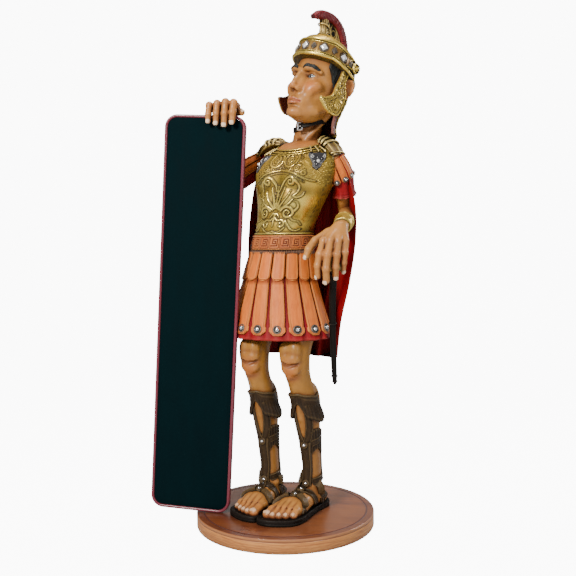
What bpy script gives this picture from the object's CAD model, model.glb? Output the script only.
import math

import bmesh
import bpy
import numpy as np
from mathutils import Matrix, Vector
from mathutils.bvhtree import BVHTree


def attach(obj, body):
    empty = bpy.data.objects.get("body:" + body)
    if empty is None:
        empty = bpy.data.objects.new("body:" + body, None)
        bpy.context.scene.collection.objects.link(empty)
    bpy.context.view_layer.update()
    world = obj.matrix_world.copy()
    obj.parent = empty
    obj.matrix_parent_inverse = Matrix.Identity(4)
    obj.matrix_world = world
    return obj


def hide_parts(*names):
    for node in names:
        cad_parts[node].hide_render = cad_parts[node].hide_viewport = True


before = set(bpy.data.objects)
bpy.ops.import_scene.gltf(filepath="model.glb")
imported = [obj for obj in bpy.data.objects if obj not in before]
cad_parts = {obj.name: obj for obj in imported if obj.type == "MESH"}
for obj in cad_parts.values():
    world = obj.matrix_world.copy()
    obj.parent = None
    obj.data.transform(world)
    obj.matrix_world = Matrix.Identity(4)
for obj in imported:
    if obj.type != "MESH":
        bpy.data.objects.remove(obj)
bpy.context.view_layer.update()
print("frame loaded")

tau = math.tau
figureHeight, drawnHeight = 1.778, 1778  # the soldier is drawn in millimetres from the plinth's top
plinth = dict(diameter=0.648, thickness=0.052, edgeRound=0.004)
board = dict(width=0.295, height=1.42, cornerRadius=0.045, frameThickness=0.022, frameWidth=0.011,
             panelThickness=0.014, tilt=math.radians(3.3), centreX=-0.3365, frontY=-0.1, gap=0.0004)

figurePlace = (Matrix.Translation((0, 0, plinth["thickness"] + board["gap"]))
               @ Matrix.Rotation(math.radians(-20), 4, "Z") @ Matrix.Scale(figureHeight / drawnHeight, 4))
headPlace = (figurePlace @ Matrix.Translation((142, 18, 1514)) @ Matrix.Rotation(math.radians(-12.6), 4, "Z")
             @ Matrix.Rotation(math.radians(-15.9), 4, "X") @ Matrix.Rotation(math.radians(7), 4, "Y")
             @ Matrix.Scale(1.12, 4))


def findBoardPlace():
    tilt, radius = board["tilt"], board["cornerRadius"]
    drop = (board["width"] / 2 - radius) * math.sin(tilt) - radius * (1 - math.cos(tilt))
    footZ = plinth["thickness"] + board["gap"] + drop
    return Matrix.Translation((board["centreX"], board["frontY"], footZ)) @ Matrix.Rotation(tilt, 4, "Y")


boardPlace = findBoardPlace()
gripPlace = boardPlace @ Matrix.Translation((0.058, 0, board["height"])) @ Matrix.Scale(0.001, 4)


# Small tools that turn numbers into smooth surfaces

def spline(stations, steps):  # a smooth line through rows of numbers, steps between each pair
    p = np.asarray(stations, float)
    out = []
    for i in range(len(p) - 1):
        before, after = p[max(i - 1, 0)], p[min(i + 2, len(p) - 1)]
        a, b = p[i], p[i + 1]
        t = (np.arange(steps) / steps)[:, None]
        out.append(0.5 * (2 * a + (b - before) * t + (2 * before - 5 * a + 4 * b - after) * t ** 2
                          + (3 * a - before - 3 * b + after) * t ** 3))
    return np.vstack(out + [p[-1:]])


def bump(value, centre, spread):
    return np.exp(-((value - centre) / spread) ** 2)


def smoothStep(value, low, high):
    t = np.clip((value - low) / (high - low), 0, 1)
    return t * t * (3 - 2 * t)


def unit(v):
    v = np.asarray(v, float)
    return v / np.maximum(np.linalg.norm(v, axis=-1, keepdims=True), 1e-12)


def carry(place, points):  # points moved by a 4 by 4 matrix
    m = np.array(place)
    return np.asarray(points, float) @ m[:3, :3].T + m[:3, 3]


def ovals(levels, z):  # middle and half widths, at a height, of a body drawn as level ovals
    s = np.asarray(levels, float)
    s = s[np.argsort(s[:, 2])]
    return [np.interp(z, s[:, 2], s[:, i]) for i in (0, 1, 3, 4)]


def onOvals(levels, angle, z, lift=0.0):  # points round such a body; angle 0 faces forward
    angle, z, lift = np.broadcast_arrays(*[np.asarray(v, float) for v in (angle, z, lift)])
    x, y, wide, deep = ovals(levels, z)
    return np.stack([x + (wide + lift) * np.sin(angle), y - (deep + lift) * np.cos(angle), z], -1)


def roundAngles(count):
    return tau * np.arange(count) / count


def frameAlong(path, across=(1, 0, 0)):  # the way a path goes, and two ways square to it
    along = unit(np.gradient(path[:, :3], axis=0))
    hint = np.asarray(across, float)
    side = unit(hint - (along @ hint)[:, None] * along)
    return along, side, np.cross(along, side)


def pipeRings(path, side, up, lift, angle):  # rings round a path of (x, y, z, half width, half depth)
    return (path[:, None, :3] + side[:, None] * ((path[:, 3:4] + lift) * np.cos(angle))[..., None]
            + up[:, None] * ((path[:, 4:5] + lift) * np.sin(angle))[..., None])


def fromStretch(points, a, b):  # distance from the stretch a to b, and the share of it reached
    d = b - a
    t = np.clip(((points - a) @ d) / max(d @ d, 1e-9), 0, 1)
    return np.linalg.norm(points - a - t[:, None] * d, axis=1), t


def gridFaces(rows, columns, closed):
    i, j = np.meshgrid(np.arange(rows - 1), np.arange(columns if closed else columns - 1), indexing="ij")
    k = (j + 1) % columns
    corners = [i * columns + j, i * columns + k, (i + 1) * columns + k, (i + 1) * columns + j]
    return np.stack(corners, -1).reshape(-1, 4)


def addObject(name, mesh, material):
    made = bpy.data.objects.new(name, mesh)
    bpy.context.scene.collection.objects.link(made)
    mesh.materials.append(material)
    return made


class Shape:  # gathers the surfaces of one piece, each with the same marks for its paint
    def __init__(self):
        self.points, self.faces, self.marks, self.count = [], [], [], 0

    def add(self, points, faces, **marks):
        points = np.asarray(points, float).reshape(-1, 3)
        for block in (faces if isinstance(faces, list) else [faces]):
            self.faces.extend((np.asarray(block) + self.count).tolist())
        self.points.append(points)
        self.marks.append((self.count, len(points), marks))
        self.count += len(points)
        return self

    def loft(self, rings, closed=True, caps=True, **marks):  # rings of points, first to last
        rings = np.asarray(rings, float)
        rows, columns = rings.shape[:2]
        points, faces = rings.reshape(-1, 3), [gridFaces(rows, columns, closed)]
        marks = {k: (np.ravel(v) if np.ndim(v) else v) for k, v in marks.items()}
        if caps:
            ends = np.array([rings[0].mean(0), rings[-1].mean(0)])
            j = np.arange(columns if closed else columns - 1)
            k = (j + 1) % columns
            n = rows * columns
            faces.append(np.stack([k, j, np.full_like(j, n)], -1))
            last = (rows - 1) * columns
            faces.append(np.stack([last + j, last + k, np.full_like(j, n + 1)], -1))
            points = np.vstack([points, ends])
            marks = {key: (np.append(v, [v[0], v[-1]]) if np.ndim(v) else v) for key, v in marks.items()}
        return self.add(points, faces, **marks)

    def sheet(self, outer, inner, across=True, under=None, **marks):
        # a sheet with two faces; under holds its hidden side's marks, which are nought otherwise
        axis = 1 if across else 0
        hidden = {k: np.full(inner.shape[:2], (under or {}).get(k, 0.0)) for k in marks}
        marks = {k: np.concatenate([v, hidden[k]], axis) if np.ndim(v) else v for k, v in marks.items()}
        return self.loft(np.concatenate([outer, np.flip(inner, axis)], axis), caps=across, **marks)

    def tube(self, stations, sides=24, steps=6, dome=0.7, **marks):
        # a limb through (x, y, z, half width, half depth) with rounded ends
        s = spline(stations, steps) if steps else np.asarray(stations, float)
        ends = []
        for end, after in ((s[0], s[1]), (s[-1], s[-2])):
            out = unit(end[:3] - after[:3]) * min(end[3], end[4]) * dome
            ends.append([np.append(end[:3] + out * math.sin(a), end[3:] * math.cos(a)) for a in (0.45, 0.9,
                                                                                                 1.3)])
        s = np.vstack([ends[0][::-1], s, ends[1]])
        _, wide, deep = frameAlong(s)
        return self.loft(pipeRings(s, wide, deep, 0, roundAngles(sides)), **marks)

    def turned(self, profile, centre, normal, sides=20, **marks):
        # a small knob: profile rows of (radius, height above the surface)
        normal = unit(normal)
        side = unit(np.cross(normal, (0.31, 0.17, 0.93)))
        other = np.cross(normal, side)
        angle = roundAngles(sides)[:, None]
        spin = side * np.cos(angle) + other * np.sin(angle)
        rings = [np.asarray(centre) + normal * h + spin * max(r, 0.01) for r, h in profile]
        return self.loft(rings, **marks)

    def mesh(self, name, place=figurePlace, sharp=40):
        made = bpy.data.meshes.new(name)
        points = carry(place, np.vstack(self.points))
        made.from_pydata(points.tolist(), [], self.faces)
        work = bmesh.new()
        work.from_mesh(made)
        bmesh.ops.recalc_face_normals(work, faces=work.faces)
        work.to_mesh(made)
        work.free()
        for key in sorted({k for _, _, marks in self.marks for k in marks}):
            values = np.zeros(self.count, np.float32)
            for start, count, marks in self.marks:
                values[start:start + count] = marks.get(key, 0)
            made.attributes.new(key, "FLOAT", "POINT").data.foreach_set("value", values)
        made.shade_smooth()
        made.set_sharp_from_angle(angle=math.radians(sharp))
        return made

    def piece(self, name, material, place=figurePlace, node="figure", slot="painted_casting", sharp=40):
        made = addObject(name, self.mesh(name, place, sharp), material)
        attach(made, "root")
        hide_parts(node)


class Clay:  # a block of modelling clay: signed distances on a grid, in millimetres
    def __init__(self, low, high, cell):
        self.low, self.cell = np.asarray(low, float), cell
        self.axes = [np.arange(a, b + cell, cell) for a, b in zip(low, high)]
        self.field = np.full([len(a) for a in self.axes], 50.0, np.float32)

    def near(self, low, high, pad):
        cut = tuple(slice(max(int((low[i] - pad - self.low[i]) / self.cell), 0),
                          max(int((high[i] + pad - self.low[i]) / self.cell) + 2, 0)) for i in range(3))
        grid = np.meshgrid(*[a[c] for a, c in zip(self.axes, cut)], indexing="ij", sparse=True)
        return cut, grid

    def merge(self, cut, value, blend, take):  # take carves away, otherwise clay is added
        sign = -1 if take else 1
        old = self.field[cut] * sign
        h = np.clip(0.5 + 0.5 * (value - old) / blend, 0, 1)
        self.field[cut] = sign * (value * (1 - h) + old * h - blend * h * (1 - h))

    def stick(self, a, b, ra, rb=None, blend=4, take=False):  # a tapering round stick
        rb = ra if rb is None else rb
        a, b = np.asarray(a, float), np.asarray(b, float)
        top = max(ra, rb)
        cut, (x, y, z) = self.near(np.minimum(a, b), np.maximum(a, b), top + blend + 4)
        d = b - a
        t = np.clip(((x - a[0]) * d[0] + (y - a[1]) * d[1] + (z - a[2]) * d[2]) / max(d @ d, 1e-9), 0, 1)
        away = np.sqrt((x - a[0] - d[0] * t) ** 2 + (y - a[1] - d[1] * t) ** 2 + (z - a[2] - d[2] * t) ** 2)
        self.merge(cut, away - (ra + (rb - ra) * t), blend, take)
        return self

    def sticks(self, path, radii, blend=4, take=False, mirror=False):
        radii = list(np.broadcast_to(radii, len(path)))
        for n in range(len(path) - 1):
            for side in ((1, -1) if mirror else (1,)):
                a, b = [(p[0] * side, p[1], p[2]) for p in path[n:n + 2]]
                self.stick(a, b, radii[n], radii[n + 1], blend, take)
        return self

    def ball(self, centre, radii, blend=4, take=False, mirror=False):  # a ball, or an egg with three radii
        r = np.broadcast_to(np.asarray(radii, float), 3)
        for side in ((1, -1) if mirror else (1,)):
            c = np.array([centre[0] * side, centre[1], centre[2]], float)
            cut, (x, y, z) = self.near(c - r, c + r, blend + 4)
            k = np.sqrt(((x - c[0]) / r[0]) ** 2 + ((y - c[1]) / r[1]) ** 2 + ((z - c[2]) / r[2]) ** 2)
            self.merge(cut, (k - 1) * r.min(), blend, take)
        return self

    def column(self, stations, blend=4):  # an upright body of level ovals
        s = spline(stations, 6)
        x, y, z = np.meshgrid(*self.axes, indexing="ij", sparse=True)
        cx, cy, w, d = ovals(s, z)
        value = (np.sqrt(((x - cx) / w) ** 2 + ((y - cy) / d) ** 2) - 1) * np.minimum(w, d)
        value = np.maximum(value, np.maximum(s[:, 2].min() - z, z - s[:, 2].max()))
        self.merge((slice(None),) * 3, value, blend, False)
        return self

    def surface(self, rounds):  # the skin where the distance is zero, evened out: points and four-sided faces
        f, inside = self.field, self.field < 0
        shape = tuple(np.array(f.shape) - 1)
        corners = [(i, j, k) for i in (0, 1) for j in (0, 1) for k in (0, 1)]
        count = sum(inside[i:i + shape[0], j:j + shape[1], k:k + shape[2]].astype(int) for i, j, k in corners)
        cells = np.argwhere((count > 0) & (count < 8))
        number = np.full(shape, -1, np.int64)
        number[tuple(cells.T)] = np.arange(len(cells))
        total, hits = np.zeros((len(cells), 3)), np.zeros(len(cells))
        for a in corners:
            for way in np.eye(3, dtype=int)[np.array(a) == 0]:
                fa, fb = f[tuple((cells + a).T)], f[tuple((cells + a + way).T)]
                cross = (fa < 0) != (fb < 0)
                t = np.where(cross, fa / np.where(cross, fa - fb, 1), 0)
                total += (np.array(a) + way * t[:, None]) * cross[:, None]
                hits += cross
        faces = []
        for axis in range(3):
            across = [i for i in range(3) if i != axis]
            clip = [slice(1, -1)] * 3
            clip[axis] = slice(0, -1)
            cross = (inside != np.roll(inside, -1, axis))[tuple(clip)]
            where = np.argwhere(cross) + [int(i != axis) for i in range(3)]
            quad = []
            for step in ((-1, -1), (0, -1), (0, 0), (-1, 0)):
                cell = where.copy()
                cell[:, across] += step
                quad.append(number[tuple(cell.T)])
            faces.append(np.stack(quad, -1))
        faces = np.vstack(faces)
        return relax((cells + total / hits[:, None]) * self.cell + self.low, faces, rounds), faces


def relax(points, faces, rounds):  # evens out a skin without moving its outline much
    edges = np.vstack([faces[:, [i, (i + 1) % 4]] for i in range(4)])
    n = len(points)
    degree = np.bincount(edges[:, 0], minlength=n) + np.bincount(edges[:, 1], minlength=n)
    for k in range(rounds * 2):
        total = np.zeros_like(points)
        for i in range(3):
            total[:, i] = (np.bincount(edges[:, 0], points[edges[:, 1], i], n)
                           + np.bincount(edges[:, 1], points[edges[:, 0], i], n))
        points = points + (total / np.maximum(degree, 1)[:, None] - points) * (0.5 if k % 2 == 0 else -0.51)
    return points


# Node groups that several materials share

class Nodes:  # short words for adding and linking shader nodes
    def __init__(self, tree):
        self.tree = tree

    def fill(self, node, inputs):  # a socket is linked, any other value is set
        for key, value in inputs.items():
            if isinstance(value, bpy.types.NodeSocket):
                self.tree.links.new(value, node.inputs[key])
            else:
                node.inputs[key].default_value = value
        return node

    def put(self, kind, inputs=None, **settings):
        node = self.tree.nodes.new("ShaderNode" + kind)
        for key, value in settings.items():
            setattr(node, key, value)
        return self.fill(node, inputs or {})

    def math(self, operation, a, b, clamp=False):
        return self.put("Math", {0: a, 1: b}, operation=operation, use_clamp=clamp).outputs[0]

    def times(self, a, b, clamp=False):
        return self.math("MULTIPLY", a, b, clamp)

    def plus(self, a, b, clamp=False):
        return self.math("ADD", a, b, clamp)

    def mix(self, share, a, b):
        return self.put("Mix", {0: share, 6: a, 7: b}, data_type="RGBA").outputs[2]

    def range(self, value, low, high, outLow=0.0, outHigh=1.0):
        return self.put("MapRange", {0: value, 1: low, 2: high, 3: outLow, 4: outHigh}).outputs[0]

    def mark(self, name):
        return self.put("Attribute", attribute_name=name).outputs["Fac"]

    def stain(self, colour, name, share, stained):  # another colour where a piece carries a mark
        return self.mix(self.times(self.mark(name), share, True), colour, rgb(*stained))

    def place(self):
        return self.put("TexCoord").outputs["Object"]

    def noise(self, scale, detail=4.0, rough=0.55, stretch=(1, 1, 1), swirl=0.0):
        where = self.place()
        if stretch != (1, 1, 1):
            where = self.put("Mapping", {"Vector": where, "Scale": stretch}).outputs[0]
        return self.put("TexNoise", {"Vector": where, "Scale": scale, "Detail": detail, "Roughness": rough,
                                     "Distortion": swirl}).outputs["Fac"]

    def relief(self, strength, distance, height):
        return self.put("Bump", {"Strength": strength, "Distance": distance, "Height": height}).outputs[0]

    def group(self, name, **inputs):
        return self.put("Group", inputs, node_tree=bpy.data.node_groups[name])


def newGroup(name, inputs, outputs):
    tree = bpy.data.node_groups.new(name, "ShaderNodeTree")
    for key, value in inputs.items():
        kind = "NodeSocketColor" if isinstance(value, tuple) else "NodeSocketFloat"
        tree.interface.new_socket(key, in_out="INPUT", socket_type=kind).default_value = value
    for key, kind in outputs.items():
        tree.interface.new_socket(key, in_out="OUTPUT", socket_type="NodeSocket" + kind)
    return Nodes(tree), tree.nodes.new("NodeGroupInput").outputs, tree.nodes.new("NodeGroupOutput")


def rgb(red, green, blue):
    return (red, green, blue, 1.0)


def makeWashGroup():
    # the dark antique wash that stays in the recesses and wipes off the raised places
    n, given, out = newGroup("antiqueWash", dict(Base=rgb(0.5, 0.5, 0.5), Dark=rgb(0.05, 0.03, 0.02),
                                                 Light=rgb(0.9, 0.9, 0.9), Reach=0.02, Amount=1.0, Recess=0.0,
                                                 Wear=0.5, Mottle=0.3),
                                                 dict(Color="Color", Cavity="Float", Edge="Float"))
    base, dark, light, mottle = [given[key] for key in ("Base", "Dark", "Light", "Mottle")]
    ao = n.put("AmbientOcclusion", {"Distance": given["Reach"]}, samples=6).outputs["AO"]
    hollow = n.math("POWER", n.math("SUBTRACT", 1.0, ao, True), 0.8)
    cloud, fine = n.noise(38, 5, 0.6), n.noise(210, 3, 0.6)
    wash = n.times(n.times(hollow, given["Amount"]), n.plus(0.55, n.times(cloud, 0.9)))
    wash = n.math("MAXIMUM", wash, n.times(given["Recess"], n.plus(0.55, n.times(fine, 0.7))), True)
    edge = n.range(n.put("NewGeometry").outputs["Pointiness"], 0.515, 0.60)
    edge = n.times(n.times(edge, given["Wear"]), n.range(fine, 0.3, 0.6, 0.3, 1.0), True)
    tone = n.times(n.math("SUBTRACT", cloud, 0.5), mottle)
    clouded = n.mix(n.plus(0.5, n.times(tone, 2.0), True), n.mix(0.35, base, dark), n.mix(0.25, base, light))
    colour = n.mix(edge, n.mix(mottle, base, clouded), light)
    n.fill(out, {"Color": n.mix(wash, colour, dark), "Cavity": wash, "Edge": edge})


def makeBrushGroup():
    # brush strokes and small pits of hand-painted resin
    n, given, out = newGroup("brushMarks", dict(Strength=0.2, Scale=300.0, Size=0.001, Extra=0.0),
                             dict(Normal="Vector", Rough="Float"))
    broad = n.noise(60, 3, 0.5)
    height = n.plus(n.plus(n.noise(given["Scale"], 4, 0.5), n.times(broad, 1.4)), given["Extra"])
    n.fill(out, {"Normal": n.relief(given["Strength"], given["Size"], height),
                 "Rough": n.math("SUBTRACT", n.times(broad, 0.3), 0.15)})


makeWashGroup()
makeBrushGroup()


def startPaint(name):
    made = bpy.data.materials.new(name)
    made.use_nodes = True
    return made, Nodes(made.node_tree), made.node_tree.nodes["Principled BSDF"]


def paint(name, base, dark, light, reach=0.02, amount=1.0, wear=0.4, mottle=0.3, rough=0.45, metal=0.0,
          grain=300.0, relief=0.25, coat=0.0, tint=None, extra=None, metalDark=None, shine=0.3):
    made, n, shader = startPaint(name)
    wash = n.group("antiqueWash", Base=tint(n, rgb(*base)) if tint else rgb(*base), Dark=rgb(*dark),
                   Light=rgb(*light), Reach=reach, Amount=amount, Wear=wear, Mottle=mottle,
                   Recess=n.mark("recess"))
    brush = n.group("brushMarks", Strength=relief, Scale=grain, Extra=extra(n) if extra else 0.0)
    cavity = wash.outputs["Cavity"]
    n.fill(shader, {"Base Color": wash.outputs["Color"], "Normal": brush.outputs["Normal"],
                    "Roughness": n.plus(n.plus(rough, brush.outputs["Rough"]), n.times(cavity, 0.3), True),
                    "Metallic": metal if metalDark is None else n.range(cavity, 0, 1, metal, metalDark),
                    "Coat Weight": coat, "Coat Roughness": 0.25, "Specular IOR Level": shine})
    return made
def leatherStreaks(n):  # long brush strokes along a strap
    return n.times(n.noise(160, 4, 0.6, (1, 1, 0.08)), 1.6)


def blushTint(n, base):  # reddish knees, knuckles and cheeks, brown shading, painted lips and nails
    base = n.stain(base, "ochre", 1, (0.31, 0.130, 0.008))
    patches = n.range(n.noise(26, 3, 0.55), 0.46, 0.66)
    colour = n.mix(n.times(patches, 0.35), base, rgb(0.22, 0.105, 0.016))
    for name, share, stained in (("blush", 0.62, (0.50, 0.075, 0.018)), ("shade", 0.85, (0.15, 0.034, 0.007)),
                                 ("lip", 1, (0.34, 0.062, 0.026)), ("nail", 1, (0.90, 0.66, 0.46)),
                                 ("ink", 1, (0.02, 0.012, 0.009))):
        colour = n.stain(colour, name, share, stained)
    return colour


def hemTint(n, base):  # a lighter edge where the cloth was dry-brushed
    return n.stain(base, "edge", 0.5, (0.60, 0.13, 0.09))


def leatherTint(n, base):  # strips: streaked, pale on the raised lines, red in the gaps
    streak = n.range(n.noise(90, 5, 0.65, (1, 1, 0.1)), 0.35, 0.7)
    colour = n.mix(n.times(streak, 0.55), base, rgb(0.36, 0.05, 0.006))
    colour = n.stain(colour, "edge", 0.75, (0.94, 0.37, 0.085))
    return n.stain(colour, "shade", 1, (0.22, 0.006, 0.006))


def goldTint(n, base):  # warmer and cooler clouds in the gold
    warm = n.range(n.noise(22, 3, 0.5), 0.42, 0.62)
    colour = n.mix(n.times(warm, 0.4), base, rgb(0.50, 0.22, 0.03))
    for name, share, stained in (("tan", 1, (0.42, 0.19, 0.055)), ("shade", 0.9, (0.11, 0.062, 0.010)),
                                 ("shine", 0.8, (1.0, 0.84, 0.22)), ("edge", 0.8, (0.98, 0.70, 0.16))):
        colour = n.stain(colour, name, share, stained)
    return colour


def silverTint(n, base):
    return n.stain(base, "edge", 0.9, (0.30, 0.29, 0.28))


def sandalTint(n, base):
    streak = n.range(n.noise(70, 5, 0.65, (1, 1, 0.25)), 0.42, 0.7)
    colour = n.mix(n.times(streak, 0.5), base, rgb(0.034, 0.015, 0.006))
    return n.stain(colour, "edge", 0.6, (0.20, 0.13, 0.055))


def eyeTint(n, base):  # white, iris and pupil by distance from the middle of the gaze
    gaze = n.mark("gaze")
    colour = n.mix(n.range(gaze, 0.50, 0.54), rgb(0.05, 0.085, 0.10), base)
    colour = n.mix(n.range(gaze, 0.22, 0.26), rgb(0.003, 0.003, 0.003), colour)
    ring = n.times(n.range(gaze, 0.44, 0.50), n.range(gaze, 0.60, 0.54))
    colour = n.mix(ring, colour, rgb(0.01, 0.012, 0.015))
    return n.stain(colour, "glint", 1, (0.95, 0.95, 0.95))


skin = paint("painted_skin", (0.50, 0.205, 0.040), (0.085, 0.018, 0.004), (0.88, 0.50, 0.22), reach=0.026,
             amount=1.25,
             wear=0.45, mottle=0.5, rough=0.42, grain=420, relief=0.16, tint=blushTint, coat=0.12)
gold = paint("antique_gold", (0.96, 0.60, 0.06), (0.014, 0.006, 0.001), (1.0, 0.80, 0.20), reach=0.014,
             amount=2.5,
             wear=0.7, mottle=0.6, rough=0.27, metal=0.82, metalDark=0.1, grain=260, relief=0.22,
             tint=goldTint)
darkGold = paint("dark_gold", (0.26, 0.155, 0.042), (0.012, 0.006, 0.002), (0.95, 0.74, 0.30), reach=0.014,
                 amount=1.8,
                 wear=1.0, mottle=0.7, rough=0.4, metal=0.6, metalDark=0.05, grain=240, relief=0.3,
                 tint=goldTint)
darkSilver = paint("dark_silver", (0.010, 0.008, 0.012), (0.002, 0.002, 0.002), (0.45, 0.45, 0.48),
                   reach=0.01, amount=1.2,
                   wear=0.35, mottle=0.5, rough=0.3, metal=0.2, metalDark=0.1, tint=silverTint)
steel = paint("steel_stud", (0.80, 0.80, 0.82), (0.02, 0.018, 0.02), (1.0, 1.0, 1.0), reach=0.008, amount=0.7,
              wear=0.5,
              mottle=0.1, rough=0.16, metal=0.9, relief=0.05)
orangeLeather = paint("orange_leather", (0.74, 0.175, 0.022), (0.11, 0.006, 0.003), (0.95, 0.40, 0.10),
                      reach=0.014,
                      amount=1.15, wear=0.4, mottle=0.4, rough=0.48, grain=350, relief=0.3, tint=leatherTint,
                      shine=0.2,
                      extra=leatherStreaks)
beltLeather = paint("belt_leather", (0.52, 0.135, 0.026), (0.05, 0.006, 0.003), (0.95, 0.48, 0.18),
                    reach=0.01, amount=1.5,
                    wear=0.7, mottle=0.45, rough=0.42, grain=320, relief=0.3, tint=leatherTint)
cordPaint = paint("belt_cord", (0.085, 0.034, 0.018), (0.012, 0.004, 0.003), (0.34, 0.18, 0.10), reach=0.01,
                  wear=0.6, rough=0.45)
darkIron = paint("dark_iron", (0.020, 0.016, 0.014), (0.004, 0.003, 0.003), (0.30, 0.25, 0.20), reach=0.006,
                 wear=0.8, rough=0.42,
                 metal=0.3)
redCloth = paint("red_cloth", (0.27, 0.005, 0.010), (0.03, 0.0006, 0.001), (0.55, 0.05, 0.04), reach=0.02,
                 amount=1.3,
                 wear=0.2, mottle=0.35, rough=0.5, grain=500, relief=0.22, tint=hemTint, shine=0.15)
capeCloth = paint("crimson_cape", (0.24, 0.003, 0.006), (0.03, 0.001, 0.001), (0.42, 0.03, 0.02), reach=0.05,
                  amount=1.0,
                  wear=0.25, mottle=0.3, rough=0.48, grain=500, relief=0.2, shine=0.12)
sandalLeather = paint("sandal_leather", (0.011, 0.0048, 0.0025), (0.002, 0.001, 0.0006), (0.30, 0.19, 0.08),
                      reach=0.012,
                      amount=1.3, wear=0.3, mottle=0.5, rough=0.4, grain=300, relief=0.35, tint=sandalTint,
                      shine=0.18)
blackSole = paint("black_sole", (0.0055, 0.0042, 0.0036), (0.001, 0.001, 0.001), (0.06, 0.045, 0.036),
                  reach=0.012, wear=0.3,
                  mottle=0.3, rough=0.5, relief=0.25, shine=0.12)
hairPaint = paint("black_hair", (0.0035, 0.0040, 0.0038), (0.0006, 0.0006, 0.0006), (0.045, 0.05, 0.048),
                  reach=0.01, wear=0.5,
                  mottle=0.2, rough=0.42, relief=0.2)
bristle = paint("crimson_bristle", (0.16, 0.005, 0.010), (0.010, 0.001, 0.002), (0.45, 0.05, 0.05),
                reach=0.012, amount=1.5,
                wear=0.7, mottle=0.4, rough=0.5, grain=400, relief=0.35)
liningRed = paint("guard_lining", (0.095, 0.016, 0.009), (0.02, 0.003, 0.002), (0.26, 0.08, 0.04), reach=0.02,
                  rough=0.5, wear=0.25)
eyePaint = paint("painted_eye", (0.78, 0.76, 0.70), (0.10, 0.04, 0.03), (0.95, 0.95, 0.95), reach=0.006,
                 amount=0.8,
                 wear=0.0, mottle=0.05, rough=0.12, relief=0.0, tint=eyeTint, coat=0.6)
whitePaint = paint("pearl_inlay", (0.75, 0.74, 0.72), (0.08, 0.06, 0.05), (1.0, 1.0, 1.0), reach=0.006,
                   rough=0.25, metal=0.3)


def woodPaint():  # stained board: glossy red-brown top, pale wood-grain edge
    made, n, shader = startPaint("plinth_wood")
    flow, ring = n.noise(3, 6, 0.62, (1.2, 9, 40), 0.8), n.noise(2.5, 7, 0.65, (5, 5, 130), 0.4)
    cloud = n.noise(7, 3, 0.5)
    top = n.mix(n.range(flow, 0.35, 0.66), rgb(0.225, 0.060, 0.014), rgb(0.09, 0.018, 0.007))
    top = n.mix(n.range(cloud, 0.35, 0.7, 0.0, 0.5), top, rgb(0.33, 0.12, 0.042))
    top = n.mix(n.range(n.noise(500, 2, 0.5), 0.62, 0.75, 0.0, 0.25), top, rgb(0.05, 0.012, 0.008))
    side = n.mix(n.range(ring, 0.38, 0.62), rgb(0.70, 0.30, 0.075), rgb(0.40, 0.125, 0.026))
    side = n.mix(n.range(n.noise(30, 4, 0.6, (1, 1, 12)), 0.5, 0.72, 0.0, 0.5), side, rgb(0.24, 0.085, 0.03))
    colour = n.stain(n.mix(n.mark("side"), top, side), "rimDark", 1, (0.085, 0.026, 0.020))
    colour = n.stain(colour, "rimLight", 1, (0.30, 0.115, 0.045))
    ao = n.put("AmbientOcclusion", {"Distance": 0.05}, samples=8).outputs["AO"]
    colour = n.mix(n.times(n.math("SUBTRACT", 1.0, ao, True), 0.8), colour, rgb(0.015, 0.008, 0.012))
    height = n.plus(n.times(flow, 0.4), n.times(n.times(ring, n.mark("side")), 2.0))
    n.fill(shader, {"Base Color": colour, "Normal": n.relief(0.3, 0.001, height), "Coat Weight": 0.2,
                    "Roughness": n.plus(n.range(cloud, 0.3, 0.7, 0.26, 0.4), n.times(n.mark("side"), 0.22))})
    return made


def slatePaint():  # matt blackboard paint with faint wiped chalk dust
    made, n, shader = startPaint("board_slate")
    wipe = n.range(n.noise(9, 5, 0.65, (1.6, 1, 0.5)), 0.35, 0.75)
    speck = n.range(n.noise(240, 4, 0.7), 0.5, 0.8)
    colour = n.mix(wipe, rgb(0.0003, 0.0058, 0.0078), rgb(0.0006, 0.0080, 0.0104))
    n.fill(shader, {"Base Color": n.mix(n.times(speck, 0.25), colour, rgb(0.004, 0.016, 0.018)),
                    "Roughness": n.range(wipe, 0, 1, 0.72, 0.86), "Specular IOR Level": 0.04,
                    "Normal": n.relief(0.25, 0.0006, n.noise(420, 4, 0.6))})
    return made


rimRed = paint("crimson_edging", (0.135, 0.012, 0.026), (0.04, 0.002, 0.005), (0.42, 0.13, 0.17), reach=0.006,
               amount=0.8,
               wear=0.6, mottle=0.4, rough=0.32, grain=160, relief=0.12, coat=0.35)
plinthWood = woodPaint()
boardSlate = slatePaint()
print("paints mixed")


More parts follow.
